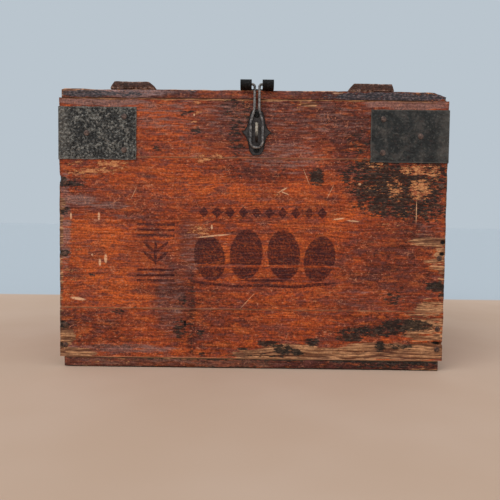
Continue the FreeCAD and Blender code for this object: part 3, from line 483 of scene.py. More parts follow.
def varnished(mm, look, tex):
    # deep, middle and bright varnish with cooler and warmer patches
    tone = mulAdd(tex["broad"], 0.9, look["tone"] - 0.45)
    tone = mulAdd(painted("bright"), 0.32, tone)
    tone = mulAdd(painted("deep"), -0.4, tone)
    tone = calc("ADD", tone, between(tex["mottle"], 0.3, 0.7, -0.24, 0.24))
    color = ramp(tone, [(0.12, look["deep"]), (0.5, look["mid"]), (0.88, look["bright"])])
    color = layered(between(tex["tint"], 0.5, 0.62, 0, look["cool"]), color, look["coolColor"])
    color = layered(between(tex["tint"], 0.46, 0.36, 0, look["cool"]), color, look["warmColor"])

    # purple-brown dirt in patches, a grey veil, dark grain lines and pits
    dirt = between(tex["patch"], 0.5, 0.68, 0, look["dirt"])
    hazy = times(painted("haze"), between(tex["crumb"], 0.3, 0.62, 0.3, 0.8))
    color = layered(most([dirt, hazy]), color, look["dirtColor"])
    veil = roughened(painted("veil"), tex["veil"], 1.6, 0.3, 0.75)
    color = layered(times(veil, 0.8), color, look["veilColor"])
    color = layered(times(tex["lines"], look["lines"]), color, look["lineColor"])
    # painted light and shade of the saw ribs, with random tone from the crumb noise
    shade = calc("ADD", tex["ribs"], between(tex["crumb"], 0.3, 0.7, 1 - look["grit"], 1 + look["grit"]))
    color = layered(1, color, shade, "MULTIPLY")
    pits = times(between(tex["speck"], 0.4, 0.32), look["grit"] * 1.3)
    color = layered(pits, color, look["lineColor"])
    scuffs = times(scuffMarks(mm, tex), look["scuff"])
    return layered(scuffs, color, look["scuffColor"])


def unvarnished(look, tex):
    # bare wood where the varnish is gone, and how much of it shows
    color = layered(between(tex["rings"], 0.35, 0.62), look["bareDark"], look["bareLight"])
    color = layered(between(tex["fine"], 0.54, 0.38, 0, 0.9), color, look["bareDark"])
    color = layered(between(tex["patch"], 0.45, 0.7, 0, 0.5), color, look["dirtColor"])
    # painted light and shade of the saw ribs over the bare wood, with random specks
    shade = mulAdd(tex["ribs"], 1.1, between(tex["speck"], 0.32, 0.68, 0.72, 1.25))
    color = layered(1, color, shade, "MULTIPLY")
    edge = times(painted("edge"), look["edgeBare"])
    return color, most([roughened(edge, tex["mottle"], 1.5, 0.42, 0.62),
                        roughened(painted("bare"), tex["bare"], 2.4, 0.36, 0.56)])


def dusty(look, tex):
    # inside of the crate: never varnished
    color = layered(between(tex["rings"], 0.36, 0.6), look["innerDark"], look["innerLight"])
    color = layered(times(tex["lines"], 0.5), color, look["bareDark"])
    color = layered(between(tex["patch"], 0.5, 0.68, 0, 0.4), color, look["dirtColor"])
    return layered(1, color, between(tex["crumb"], 0.3, 0.7, 0.86, 1.12), "MULTIPLY")


def woodMaterial(name, look):
    # varnished softwood: grain along look["grain"], worn, stained and given painted shadow lines where the
    # meshes are painted
    mat, mm = startMaterial(name)
    tex = woodTextures(mm, look)
    bareWood, raw = unvarnished(look, tex)
    color = layered(times(raw, 0.9), varnished(mm, look, tex), bareWood)
    height = mulAdd(tex["fine"], 0.6, between(tex["rings"], 0.3, 0.6, 0, 1))
    rough = mulAdd(raw, 0.25, between(tex["mottle"], 0.3, 0.7, 0.42, 0.6))

    # black stain, on the floor board's front also painted shadow lines, then slivers torn out of it
    black = roughened(painted("dark"), tex["black"], 3.2, 0.34, 0.56)
    stain = layered(between(tex["speck"], 0.46, 0.66), look["blackDark"], look["blackLight"])
    color = layered(times(black, 0.92), color, stain)
    torn = roughened(painted("streaks"), tex["streaky"], 3.0, 0.68, 0.8)
    sliver = layered(between(tex["speck"], 0.36, 0.62), look["tornDark"], look["tornLight"])
    color = layered(times(torn, 0.85), color, sliver)
    height = mulAdd(torn, -1.2, height)

    if look["scratches"]:
        # stencilled shapes in worn ink, single scratches, and nail holes painted near-black as the shade
        # inside them
        worn = times(between(tex["crumb"], 0.62, 0.48), between(tex["streaky"], 0.62, 0.5))
        ink = times(stencil(mm), mulAdd(worn, 0.34, 0.54))
        color = layered(ink, color, look["ink"])
        marks = most([oval(mm, *mark) for mark in look["scratches"]])
        marks = times(marks, between(tex["speck"], 0.3, 0.5, 0.2, 0.85))
        color = layered(marks, color, look["markColor"])
        # nail holes: near-black painted shade, with a dip in the bump
        holes = most([oval(mm, *mark) for mark in look["holes"]])
        color = layered(holes, color, look["holeShadeColor"])
        height = mulAdd(holes, -6, height)

    inner = between(mulAdd(tex["mottle"], 0.3, painted("inner")), 0.55, 0.75)
    color = layered(inner, color, dusty(look, tex))
    rough = mulAdd(inner, 0.3, rough)

    # a thin line where the next board starts, and sawn ends with open pores
    line = times(between(painted("seam"), 0.55, 0.9),
                 between(tex["patch"], 0.35, 0.6, look["seam"] * 0.4, look["seam"]))
    color = layered(line, color, look["seamColor"])
    pores = fuzz(mm, 1.4, 3, 0.7)
    ends = times(painted("ends"), between(pores, 0.35, 0.6, 0.85, 0.35))
    color = layered(ends, color, look["endColor"])
    return finishMaterial(mat, color, rough, height, depth=look["relief"], spec=look["gloss"])


def stencil(mm):
    # solid egg shapes with stencil bridges, straw under them, lozenges above and a ruled sprig at the left
    axes = put("SeparateXYZ", {0: mm}).outputs

    def within(value, middle, reach):
        return between(apart(value, middle), reach, reach - 0.5)

    eggs = most([oval(mm, *egg, 0.04) for egg in (
        (-44, 116, 16, 24, 12), (-6, 120, 17, 26, -5), (33, 120, 17, 26, 6), (70, 116, 16, 24, -12))])
    eggs = times(eggs, calc("SUBTRACT", 1, within(axes[2], 108, 1.5)))
    slim = most([oval(mm, x, z, wide, 1.7, lean, 0.12) for x, z, wide, lean in (
        (-40, 89, 24, -6), (-4, 87.5, 24, 3), (30, 87.5, 24, -3), (64, 89, 24, 6), (12, 93, 24, 0),
        (-100, 121, 13, 90), (-93, 127, 8, 42), (-107, 127, 8, -42), (-93, 117, 8, 42), (-107, 117, 8, -42))])
    across = calc("MODULO", calc("ADD", axes[0], 274.7), 13.6)
    across = apart(across, 6.8)
    up = apart(axes[2], 163.5)
    lozenges = between(mulAdd(up, 0.85, across), 5.4, 4.9)
    rules = most([within(axes[2], z, 1.5) for z in (150, 144.5, 139, 103, 97.5, 92)])
    shapes = most([eggs, slim, times(lozenges, within(axes[0], 11, 68)),
                   times(rules, within(axes[0], -100, 20))])
    return times(shapes, between(axes[1], -150, -152))


pine = {
    "grain": "x", "seed": 1, "waver": 22, "tone": 0.5, "gloss": 0.2, "relief": 0.35,
    "deep": rgb(80, 32, 20), "mid": rgb(158, 66, 30), "bright": rgb(200, 92, 36), "ribs": 0.2, "cool": 0.62,
    "coolColor": rgb(112, 62, 56), "warmColor": rgb(196, 98, 44), "veilColor": rgb(142, 106, 98),
    "dirt": 0.45, "dirtColor": rgb(80, 46, 42), "lines": 0.5, "lineColor": rgb(54, 24, 22), "grit": 0.46,
    "scuff": 0.8, "scuffColor": rgb(214, 140, 104), "markColor": rgb(236, 184, 142), "edgeBare": 0.8,
    "bareDark": rgb(96, 60, 40), "bareLight": rgb(208, 154, 110),
    "blackDark": rgb(16, 21, 20), "blackLight": rgb(72, 62, 52),
    "tornDark": rgb(158, 76, 50), "tornLight": rgb(228, 160, 104), "ink": rgb(50, 16, 22),
    "innerLight": rgb(158, 124, 88), "innerDark": rgb(112, 84, 60), "endColor": rgb(58, 38, 30),
    # the hole colour is near-black, painted shade inside the nail holes
    "holeShadeColor": rgb(16, 12, 10), "seam": 0.75, "seamColor": rgb(206, 142, 104),
    "scratches": [
        (-188, 158, 0.9, 3.4), (-159, 158, 1.2, 3.9), (-152, 114, 1.5, 4.5), (-158, 110, 1.2, 3.5),
        (-166, 118, 1, 1), (-181, 72, 7.5, 1.5, -8), (169, 166, 0.45, 11), (-123, 182, 0.22, 7, -25),
        (-4, 72, 0.25, 11, -42), (31, 187, 5, 0.7, 30), (33, 184, 4, 0.6, -20), (89, 158, 6, 0.8, 8),
        (104, 156, 6, 0.8, -5), (-40, 139, 16, 0.8, 6), (55, 201, 0.22, 9, 22), (80, 186, 0.22, 8, -25),
        (-61, 263, 0.8, 1.2), (110, 194, 1.4, 1.2), (-42, 148, 1, 2.5),
    ],
    "holes": [
        (-69, 47, 1.1, 3), (197, 135, 2.2, 2), (196.5, 123, 2.4, 1.8), (193, 30, 4, 1.4, -8),
        (-190, 190, 1, 1),
    ],
}
walls = woodMaterial("crate_pine", pine)
edgePine = {**pine, "seed": 12, "scratches": [], "bareLight": rgb(226, 178, 146),
            "seamColor": rgb(34, 20, 16)}
plainPine = {**edgePine, "seed": 5, "dirt": 0.6, "edgeBare": 0.75}
backPine = woodMaterial("back_pine", {**plainPine, "seed": 9})
endPine = woodMaterial("end_pine", {**plainPine, "grain": "y", "tone": 0.44})
lidPine = woodMaterial("lid_pine", {
    **edgePine, "tone": 0.42, "dirt": 0.7, "edgeBare": 0.85, "scuff": 0.55, "mid": rgb(128, 62, 44),
    "bright": rgb(158, 80, 50), "coolColor": rgb(98, 72, 72), "veilColor": rgb(150, 122, 120),
    "blackDark": rgb(44, 48, 54), "blackLight": rgb(116, 104, 106)})
floorPine = woodMaterial("floor_pine", {
    **edgePine, "seed": 15, "tone": 0.36, "dirt": 0.8, "edgeBare": 0.3, "scuff": 0.5, "mid": rgb(138, 72, 46),
    "bright": rgb(170, 90, 56), "veilColor": rgb(128, 92, 78), "bareLight": rgb(196, 142, 96)})
battenPine = woodMaterial("batten_pine", {
    **plainPine, "grain": "y", "seed": 21, "tone": 0.42, "dirt": 0.95, "edgeBare": 1, "scuff": 0.5,
    "deep": rgb(50, 34, 30), "mid": rgb(92, 62, 54), "bright": rgb(118, 82, 70), "dirtColor": rgb(56, 44, 42),
    "bareLight": rgb(206, 168, 152), "coolColor": rgb(94, 74, 74), "warmColor": rgb(112, 76, 62)})
print("wood materials ready")


# in metres: how far in the wear, the bare edges, the seams and the sawn ends of a board reach
boardEdge = {"wear": 0.004, "sway": 0.00025, "bare": 0.0022, "neighbour": 0.003, "seam": 0.0012,
             "ends": 0.0008, "rim": 0.0004, "inner": 0.001, "middle": (0, 0, 0.14)}


def board(node, material, body, look):
    lo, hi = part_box(node)
    lo, hi = Vector(lo), Vector(hi)
    grain = "xyz".index(look["grain"])
    bm = gridBox(lo, hi, look["round"], look["step"])
    crisp = look.get("crisp", ())
    wearDown(bm, lo, hi, look["wear"], boardEdge["wear"], look["seed"], boardEdge["sway"], grain,
             look["tight"] + crisp)
    for dent in look.get("bites", []):
        bite(bm, *dent)
    obj = settle(bm, node + "_aged", material, body, (node,))
    co = places(obj) / 1000
    below, above = co - np.array(lo), np.array(hi) - co
    nearest = np.minimum(below, above)
    edge = fade(np.sort(nearest, axis=1)[:, 1], boardEdge["bare"])
    seam = np.zeros(len(co))
    for axis, sign in look["tight"]:
        beside = (above if sign > 0 else below)[:, axis]
        edge[beside < boardEdge["neighbour"]] *= 0.1
        seam = np.maximum(seam, fade(beside, look.get("seamWide", boardEdge["seam"])))
    for axis, sign in crisp:
        edge[(above if sign > 0 else below)[:, axis] < boardEdge["neighbour"]] *= 0.5
    keepOn(obj, "seam", seam)
    thin = min(range(3), key=lambda i: hi[i] - lo[i])
    inside = (above if (lo[thin] + hi[thin]) / 2 < boardEdge["middle"][thin] else below)[:, thin]
    keepOn(obj, "edge", edge)
    keepOn(obj, "ends", fade(nearest[:, grain], boardEdge["ends"]))
    rim = np.delete(nearest, thin, axis=1).min(axis=1) < boardEdge["rim"]
    keepOn(obj, "inner", np.where(rim, 0, np.clip(1.5 - inside / boardEdge["inner"], 0, 1)))
    return obj


wallBoard = {"grain": "x", "round": 0.00025, "wear": 0.0005,
             "step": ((0.0026, 0.004, 0.0026))}
seams = {"lower": ((2, 1), (2, -1)), "middle": ((2, -1), (2, 1)), "upper": ((2, -1),)}
for number, level in enumerate(("lower", "middle", "upper")):
    front = board("front_board_" + level, walls, "crate", {
        **wallBoard, "seed": 3 + number * 4, "tight": seams[level], "crisp": ((2, 1),),
        "bites": [((-181, -154, 72), (9, 1.6, 2), (0, 1, 0)), ((-202, -152, 196), (5, 4, 3), (0, 1, 0)),
                  ((204, -155, 128), (6, 3, 9), (0, 1, 0)), ((201, -152, 30), (9, 3.5, 1.6), (0, 1, 0)),
                  ((-202, -154, 120), (5, 3, 3), (0, 1, 0)), ((-202, -154, 45), (5, 3, 3), (0, 1, 0))]})
    paint(front, frontMarks, (1, -1, 145))
    back = board("back_board_" + level, backPine, "crate", {
        **wallBoard, "seed": 23 + number * 5, "step": (0.005, 0.006, 0.004), "tight": seams[level]})
    paint(back, weathering(5, 195, 5, 270), (1, 1, 145))
for side in ("left", "right"):
    for number, level in enumerate(("lower", "upper")):
        end = board("%s_end_board_%s" % (side, level), endPine, "crate", {
            **wallBoard, "grain": "y", "seed": 41 + number * 3 + len(side), "step": (0.006, 0.005, 0.004),
            "tight": seams["lower"] if level == "lower" else seams["upper"]})
        paint(end, weathering(len(side), 140, 5, 270), (0, -1 if side == "left" else 1, 190), (1, 2))
# front of the floor boards: stains and bare wood, and painted shadow along the bottom and top edges
floorMarksWithShadow = {
    "bare": [(-45, 11, 42, 1.6, 0.8), (-120, 10, 40, 1, 0.45)],
    "veil": [(-120, 5, 80, 6, 0.4), (-20, 5, 50, 5, 0.5)],
    # the dark lines at z 0 and z 10 are painted shadow: contact shadow under the crate and shade under the
    # wall boards
    "dark": [(0, 0, 260, 1.4, 0.9), (150, 9.6, 70, 1.6, 0.9), (0, 10.2, 220, 0.9, 0.6),
             (150, 5, 60, 4, 0.45)],
    "streaks": [(-150, 6, 40, 4, 0.45), (10, 5, 70, 4, 0.3)],
    "haze": [(120, 5, 90, 6, 0.5), (-150, 5, 50, 6, 0.6)],
    "deep": [(130, 5, 80, 8, 0.8)],
    "bright": [(-10, 6, 50, 6, 0.3)],
}
for number, place in enumerate(("front", "middle", "back")):
    base = board("floor_board_" + place, floorPine, "crate", {
        **wallBoard, "round": 0.0016, "wear": 0.0012, "seed": 60 + number * 4, "step": (0.004, 0.006, 0.003),
        "tight": ((1, -1), (1, 1)) if place == "middle" else ((2, 1), (1, 1 if place == "front" else -1))})
    paint(base, floorMarksWithShadow, (1, -1, 145))
    paint(base, weathering(31, 190, -140, 140), (2, -1, -3), (0, 1))
print("walls and floor done")

lidMarks = {
    "dark": [(-168, 283.5, 28, 3.4, 0.95), (140, 283, 60, 4.4, 0.85), (-128, 284, 16, 4, 0.5)],
    "haze": [(-110, 284, 42, 6, 0.75), (50, 284, 42, 6, 0.45)],
    "veil": [(-128, 285, 40, 5, 0.85), (-80, 284, 20, 4, 0.3)],
    "bare": [(-186, 288.4, 12, 1.6, 1), (86, 288, 5, 3, 0.8), (182, 288.8, 9, 1.4, 0.95),
             (165, 283, 3, 3, 0.8), (-90, 289, 60, 0.8, 0.9), (-196, 286, 4, 3, 1), (-197, 282, 2, 3, 0.9)],
    "streaks": [(-130, 287, 40, 2, 0.4), (20, 283, 90, 4, 0.4), (172, 287, 16, 2, 0.7)],
    "bright": [(-10, 284, 60, 6, 0.5)],
    "deep": [(60, 284, 50, 6, 0.4), (-90, 284, 40, 6, 0.4)],
}
lidBoard = {"seamWide": 0.002, "grain": "x", "round": 0.0006, "wear": 0.0013, "step": (0.003, 0.005, 0.0022),
            "crisp": ((2, -1),)}
lidBites = [
    ((260, -150, 314), (100, 60, 40), (0, 0, -1), 1, 0.01), ((-201, -152, 291), (7, 60, 5), (0, 0, -1)),
    ((86, -155, 292), (13, 8, 4), (0, 0, -1)), ((64, -155, 291), (24, 5, 3), (0, 0, -1)),
    ((-110, -155, 291), (40, 5, 2.2), (0, 0, -1)), ((165, -154, 291.5), (9, 6, 3.4), (0, 0, -1)),
    ((-148, -156, 286), (14, 3.6, 4), (0, 1, 0)), ((165, -155, 283), (3, 3, 3), (0, 1, 0)),
]
for number, place in enumerate(("front", "middle", "back")):
    cover = board("lid_board_" + place, lidPine, "lid", {
        **lidBoard, "seed": 80 + number * 6, "bites": lidBites if place == "front" else [],
        "tight": ((1, -1), (1, 1)) if place == "middle" else ((1, 1 if place == "front" else -1),)})
    paint(cover, lidMarks, (1, -1, 145))
    paint(cover, weathering(44, 190, -150, 150), (2, 1, 286), (0, 1))

# battens: tapered slats, the slopes cut by moving the box's upper corners, then worn like the boards
battenLook = {"round": 0.0006, "step": (0.0022, 0.004, 0.0022), "wear": 0.0007, "reach": 0.003,
              "sway": 0.0003, "foot": 0.0015, "wide": 0.047,
              "slopes": {"left": (0.0045, 0.012), "right": (0.0025, 0.0085)},
              "chips": ((-0.5, 1.2), (0.25, 0.7), (0.8, 1)), "halfTop": 0.016, "edge": 0.003, "ends": 0.0012}
for side, sign in (("left", -1), ("right", 1)):
    lo, hi = (Vector(corner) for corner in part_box("batten_" + side))
    bm = gridBox(lo, hi, battenLook["round"], battenLook["step"])
    foot = lo.z + battenLook["foot"]
    outer, inner = (lo.x, hi.x) if sign < 0 else (hi.x, lo.x)
    steep, both = battenLook["slopes"][side]  # outer slope, both slopes together
    for v in bm.verts:
        rise = max(0, (v.co.z - foot) / (hi.z - foot))
        share = (v.co.x - outer) / (inner - outer)  # 0 at the outer side, 1 at the inner one
        moved = steep * rise + share * (battenLook["wide"] - both * rise)
        v.co.x = outer + (inner - outer) * moved / battenLook["wide"]
    wearDown(bm, lo, hi, battenLook["wear"], battenLook["reach"], 120 + sign, battenLook["sway"], grain=1)
    for x, z in battenLook["chips"]:
        middle = (lo.x + hi.x) / 2 + x * battenLook["halfTop"]
        bite(bm, (middle * 1000, lo.y * 1000 - 1.5, hi.z * 1000 + 1.5), (4, 3, 2 + z * 0.3), (0, 0, -1), 7)
    batten = settle(bm, "batten_%s_aged" % side, battenPine, "lid", ("batten_" + side,))
    co = places(batten) / 1000
    away = np.minimum(co - np.array(lo), np.array(hi) - co)
    keepOn(batten, "edge", fade(np.sort(away, axis=1)[:, 1], battenLook["edge"]))
    keepOn(batten, "ends", fade(away[:, 1], battenLook["ends"]))
print("lid done")


def ironMaterial(name, look):
    # old black iron: paint or scale over rust, with pits and rubbed spots
    mat, mm = startMaterial(name)
    at = stretch(mm, (1, 1, 1), shift=(look["seed"] * 31, look["seed"] * 7, look["seed"] * 3))
    cloud = fuzz(at, look["cloud"], 5, 0.65)
    patches = fuzz(at, look["cloud"] * 2.3, 5, 0.7)
    grit = fuzz(at, look["grit"], 4, 0.7)
    cells = put("TexVoronoi", {"Vector": at, "Scale": look["grit"] * 0.8}, feature="F1").outputs["Distance"]
    color = ramp(cloud, [(0.38, look["dark"]), (0.5, look["mid"]), (0.62, look["light"])])
    # pale flecks: partly bare specks, partly painted glints standing in for the shine of the black iron
    color = layered(between(grit, 0.54, 0.66, 0, look["flecks"]), color, look["fleck"])
    color = layered(between(grit, *look["pitted"], 0, look["pits"]), color, look["pit"])
    rust = times(between(patches, 0.55, 0.7), look["rust"])
    color = layered(rust, color, look["rustColor"])
    if look.get("highlightBand"):
        # painted highlight: only a band across the staple's crown keeps its bright colour, where the light
        # falls; above and below it the staple is painted dark in the pit colour as shade
        up = put("SeparateXYZ", {0: mm}).outputs[2]
        bright = times(between(up, look["highlightBand"][0] - 4, look["highlightBand"][0] + 4),
                       between(up, look["highlightBand"][1] + 1, look["highlightBand"][1] - 1))
        color = layered(bright, look["pit"], color)
    # rims painted in bare iron where rubbed; on the staple plate this lighter rim is also a painted highlight
    if look.get("rubbed"):
        rubbed = times(painted("edge"), between(cloud, 0.3, 0.6, 0.3, look["rubbed"]))
        color = layered(rubbed, color, look["bareIron"])
    height = calc("ADD", times(grit, 1.2), times(cells, 0.6))
    rough = between(grit, 0.3, 0.7, look["rough"] + 0.12, look["rough"] - 0.1)
    return finishMaterial(mat, color, rough, height, metal=look["metal"], depth=look["relief"],
                          spec=look["gloss"])


iron = {"seed": 2, "cloud": 0.09, "grit": 0.9, "dark": rgb(30, 30, 29), "mid": rgb(58, 58, 55),
        "light": rgb(82, 82, 76), "flecks": 0.5, "fleck": rgb(112, 110, 100), "pits": 0.8,
        "pit": rgb(22, 21, 20), "rust": 0.25, "rustColor": rgb(92, 66, 52), "metal": 0.25, "rough": 0.5,
        "relief": 0.35, "bareIron": rgb(128, 122, 114), "gloss": 0.35, "pitted": (0.46, 0.34)}
# pitted corner plates: the pale flecks are partly painted glints
pittedIron = ironMaterial("corner_iron_pitted", {
    **iron, "cloud": 0.1, "grit": 0.46, "dark": rgb(34, 35, 35), "mid": rgb(66, 66, 63),
    "light": rgb(104, 102, 96), "flecks": 0.65, "fleck": rgb(168, 166, 158), "pits": 1.0, "pit": rgb(4, 4, 5),
    "pitted": (0.5, 0.42), "rubbed": 0.6, "relief": 1.1, "metal": 0.05})
plainIron = ironMaterial("corner_iron_smooth", {
    **iron, "seed": 6, "cloud": 0.08, "grit": 0.4, "dark": rgb(16, 19, 20), "mid": rgb(32, 35, 35),
    "light": rgb(62, 59, 56), "flecks": 0.3, "pits": 0.7, "rust": 0.3, "rustColor": rgb(84, 62, 58),
    "rubbed": 0.35, "relief": 0.5, "metal": 0.05})
# black hardware: the pale flecks are partly painted glints
blackIron = ironMaterial("hardware_black_iron", {
    **iron, "seed": 11, "cloud": 0.25, "dark": rgb(4, 4, 5), "mid": rgb(9, 9, 10), "light": rgb(22, 21, 22),
    "fleck": rgb(70, 68, 70), "rust": 0.3, "rustColor": rgb(60, 40, 34), "metal": 0, "relief": 0.3,
    "gloss": 0.16, "rubbed": 0.7, "bareIron": rgb(84, 80, 80)})
wireIron = ironMaterial("worn_wire", {
    **iron, "seed": 17, "cloud": 0.3, "grit": 1.2, "dark": rgb(66, 64, 64), "mid": rgb(112, 110, 110),
    "light": rgb(158, 154, 150), "flecks": 0.25, "fleck": rgb(190, 186, 182), "rust": 0.3, "pits": 0.5,
    "pit": rgb(60, 56, 54), "rustColor": rgb(104, 84, 74), "metal": 0.55, "rough": 0.38, "relief": 0.06})
# staple: bright steel with a painted highlight across its crown and painted shade above and below it
stapleIron = ironMaterial("staple_painted_highlight", {
    **iron, "seed": 19, "cloud": 0.3, "grit": 1.2, "dark": rgb(120, 112, 100), "mid": rgb(172, 164, 148),
    "light": rgb(206, 200, 188), "flecks": 0.3, "rust": 0.3, "pits": 0.3, "pit": rgb(44, 38, 36),
    "highlightBand": (243, 253.5), "metal": 0.4, "rough": 0.4, "relief": 0.06})
nailIron = ironMaterial("rusty_nails", {
    **iron, "seed": 23, "cloud": 0.4, "grit": 2.2, "dark": rgb(44, 31, 27), "mid": rgb(84, 56, 44),
    "light": rgb(118, 82, 66), "rust": 0.6, "rustColor": rgb(104, 62, 46), "metal": 0.2, "rough": 0.62,
    "relief": 0.1})
cloutIron = ironMaterial("clout_heads", {
    **iron, "seed": 29, "cloud": 0.4, "grit": 2.2, "dark": rgb(60, 46, 42), "mid": rgb(88, 70, 64),
    "light": rgb(124, 102, 92), "rust": 0.5, "rustColor": rgb(110, 72, 60), "metal": 0.2, "rough": 0.6,
    "relief": 0.1})
screwIron = ironMaterial("worn_screws", {
    **iron, "seed": 31, "cloud": 0.4, "grit": 1.6, "dark": rgb(34, 32, 31), "mid": rgb(62, 58, 56),
    "light": rgb(104, 98, 94), "rust": 0.5, "rustColor": rgb(84, 62, 54), "rough": 0.45, "relief": 0.08})
print("iron materials ready")

# corner plates: sheet run round the corner in a fine grid, thickened inwards, beaten a little out of true
cornerLook = {"thick": 0.0006, "step": 0.0016, "fold": 0.0022, "dent": 0.00035, "sunk": 0.00002,
              "ragged": 0.0006, "torn": 0.003, "rim": 0.0016, "turn": 0.016}
fold, ragged = cornerLook["fold"], cornerLook["ragged"]
for x, y, material in ((-1, -1, pittedIron), (1, -1, plainIron), (-1, 1, plainIron), (1, 1, pittedIron)):
    name = "corner_plate_%s_%s" % ("back" if y > 0 else "front", "right" if x > 0 else "left")
    lo, hi = (Vector(corner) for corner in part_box(name))
    cornerAt = Vector((hi.x if x > 0 else lo.x, hi.y if y > 0 else lo.y, lo.z))
    reachX, reachY = hi.x - lo.x, hi.y - lo.y
    bm = bmesh.new()
    path = [cornerAt - Vector((x * reachX, 0, 0)), cornerAt - Vector((x * fold, 0, 0))]
    path += [cornerAt - Vector((x * (fold * (1 - math.sin(a))), y * (fold * (1 - math.cos(a))), 0))
             for a in (math.pi / 8, math.pi / 4, math.pi * 3 / 8)]
    path += [cornerAt - Vector((0, y * fold, 0)), cornerAt - Vector((0, y * reachY, 0))]
    line = [bm.verts.new(p) for p in path]
    edges = [bm.edges.new(pair) for pair in zip(line, line[1:])]
    for edge, reach in ((edges[0], reachX), (edges[-1], reachY)):
        bmesh.ops.subdivide_edges(bm, edges=[edge], cuts=round(reach / cornerLook["step"]) - 1)
    rows = round((hi.z - lo.z) / cornerLook["step"])
    current = bm.edges[:]
    for _ in range(rows):
        grown = bmesh.ops.extrude_edge_only(bm, edges=current)["geom"]
        bmesh.ops.translate(bm, vec=(0, 0, (hi.z - lo.z) / rows), verts=only(bmesh.types.BMVert, grown))
        current = only(bmesh.types.BMEdge, grown)
    for v in bm.verts:
        onFront = abs(v.co.y - cornerAt.y) < 1e-6
        left = reachX - abs(v.co.x - cornerAt.x) if onFront else reachY - abs(v.co.y - cornerAt.y)
        far = max(0, 1 - left / cornerLook["torn"])
        level = max(0, 1 - min(v.co.z - lo.z, hi.z - v.co.z) / cornerLook["torn"])
        jag = noise.noise(v.co * 220) * 0.6 + noise.noise(v.co * 60 + Vector((9, 0, 0)))
        v.co.z += (1 if v.co.z < (lo.z + hi.z) / 2 else -1) * level * ragged * abs(jag)
        bend = cornerLook["dent"] * max(0, noise.noise(v.co * 70 + Vector((x * 5, y * 3, 2))) + 0.35)
        bend += cornerLook["sunk"]
        if onFront:
            v.co.x += x * far * ragged * abs(jag)
            v.co.y -= y * bend
        elif abs(v.co.x - cornerAt.x) < 1e-6:
            v.co.y += y * far * ragged * abs(jag)
            v.co.x -= x * bend
    bmesh.ops.recalc_face_normals(bm, faces=bm.faces)
    if sum(f.normal.x * x + f.normal.y * y for f in bm.faces) < 0:
        bmesh.ops.reverse_faces(bm, faces=bm.faces)
    bmesh.ops.solidify(bm, geom=bm.faces[:], thickness=cornerLook["thick"])
    plate = settle(bm, name + "_beaten", material, "crate", (name,), smooth=50)
    co = places(plate) / 1000
    rim = np.minimum.reduce([co[:, 2] - lo.z, hi.z - co[:, 2], np.abs(co[:, 0] - (cornerAt.x - x * reachX)),
                             np.abs(co[:, 1] - (cornerAt.y - y * reachY))])
    turned = np.maximum(np.abs(co[:, 0] - cornerAt.x), np.abs(co[:, 1] - cornerAt.y))
    keepOn(plate, "edge", np.maximum(fade(rim, cornerLook["rim"]), 0.6 * fade(turned, cornerLook["turn"])))
print("corner plates done")

# nails and screws, heads as (radius, height) profiles down to the point of the shank
wireNail = [(0.001, 0.62), (1.3, 0.6), (2.3, 0.48), (2.75, 0.2), (2.78, 0), (1.2, -0.1), (1.2, -35),
            (0.001, -37.6)]
clout = [(0.001, 0.62), (1.2, 0.58), (2.2, 0.42), (2.9, 0.12), (2.95, 0), (1.1, -0.1), (1.1, -8),
         (0.001, -9.6)]
battenNail = [(0.001, 0), (1.5, -0.03), (2.4, -0.1), (2.75, -0.3), (2.78, -0.6), (1.2, -0.7), (1.2, -13),
              (0.001, -15)]
screwShank = [(1.4, -0.1), (1.35, -6), (0.001, -8)]
screwHead = [(0.001, 1.2), (1, 1.15), (2, 0.9), (2.8, 0.45), (3.15, 0.05), (3.1, 0)] + screwShank
flushScrew = [(0.001, 0.12), (1.5, 0.12), (2.6, 0.1), (3.1, 0.03), (3.1, 0)] + screwShank
for material, slot, profile, options, pieces in (
        (nailIron, "nail_iron", wireNail, {}, (
            ("front_wall_nails", "crate", 1, -1), ("back_wall_nails", "crate", 1, 1),
            ("floor_nails", "crate", 2, -1))),
        (cloutIron, "nail_iron", clout, {}, (
            ("front_plate_nails", "crate", 1, -1), ("back_plate_nails", "crate", 1, 1),
            ("left_plate_nails", "crate", 0, -1), ("right_plate_nails", "crate", 0, 1))),
        (nailIron, "nail_iron", battenNail, {"tilt": 0}, (("batten_nails", "lid", 2, 1),)),
        (blackIron, "black_iron", flushScrew, {"slotted": True, "tilt": 0, "wobble": 0}, (
            ("staple_plate_screws", "crate", 1, -1),)),
        (screwIron, "black_iron", screwHead, {"slotted": True}, (
            ("hasp_screws", "lid", 2, 1), ("hinge_lid_screws", "lid", 2, 1),
            ("hinge_wall_screws", "crate", 1, 1)))):
    for name, body, axis, side in pieces:
        driven(name, material, body, slot, axis, side, profile, **options)
print("nails and screws done")


# CAD nodes that keep their own shape
def dress(name, material):
    nodes[name].data.materials.clear()
    nodes[name].data.materials.append(material)


# plate behind the staple: cut with hollow sides, its rim filed off and a little lower than the middle, and
# painted lighter as bare iron and as a painted highlight along the edge
plate = {"quarter": [(14.8, 0), (12.2, 2.4), (10.2, 5.6), (9, 9), (8.4, 12), (7.9, 15), (7.2, 18),
                     (5.9, 20.9), (3.4, 22.9)],
         "tip": 23.4, "rim": 0.0016, "fall": 0.0004, "round": 0.0003, "filed": 0.001}
lo, hi = (Vector(corner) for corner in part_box("staple_plate"))
middle = (lo + hi) / 2
quarter = plate["quarter"]
corners = quarter + [(0, plate["tip"])] + [(-w, h) for w, h in quarter[::-1]]
corners += [(-w, -h) for w, h in quarter[1:]] + [(0, -plate["tip"])] + [(w, -h) for w, h in quarter[:0:-1]]
bm = bmesh.new()
rim = [bm.verts.new((middle.x + w / 1000, hi.y, middle.z + h / 1000)) for w, h in corners]
back = bm.faces.new(rim)
grown = bmesh.ops.extrude_face_region(bm, geom=[back])["geom"]
bmesh.ops.translate(bm, vec=(0, lo.y - hi.y, 0), verts=only(bmesh.types.BMVert, grown))
bm.faces.ensure_lookup_table()
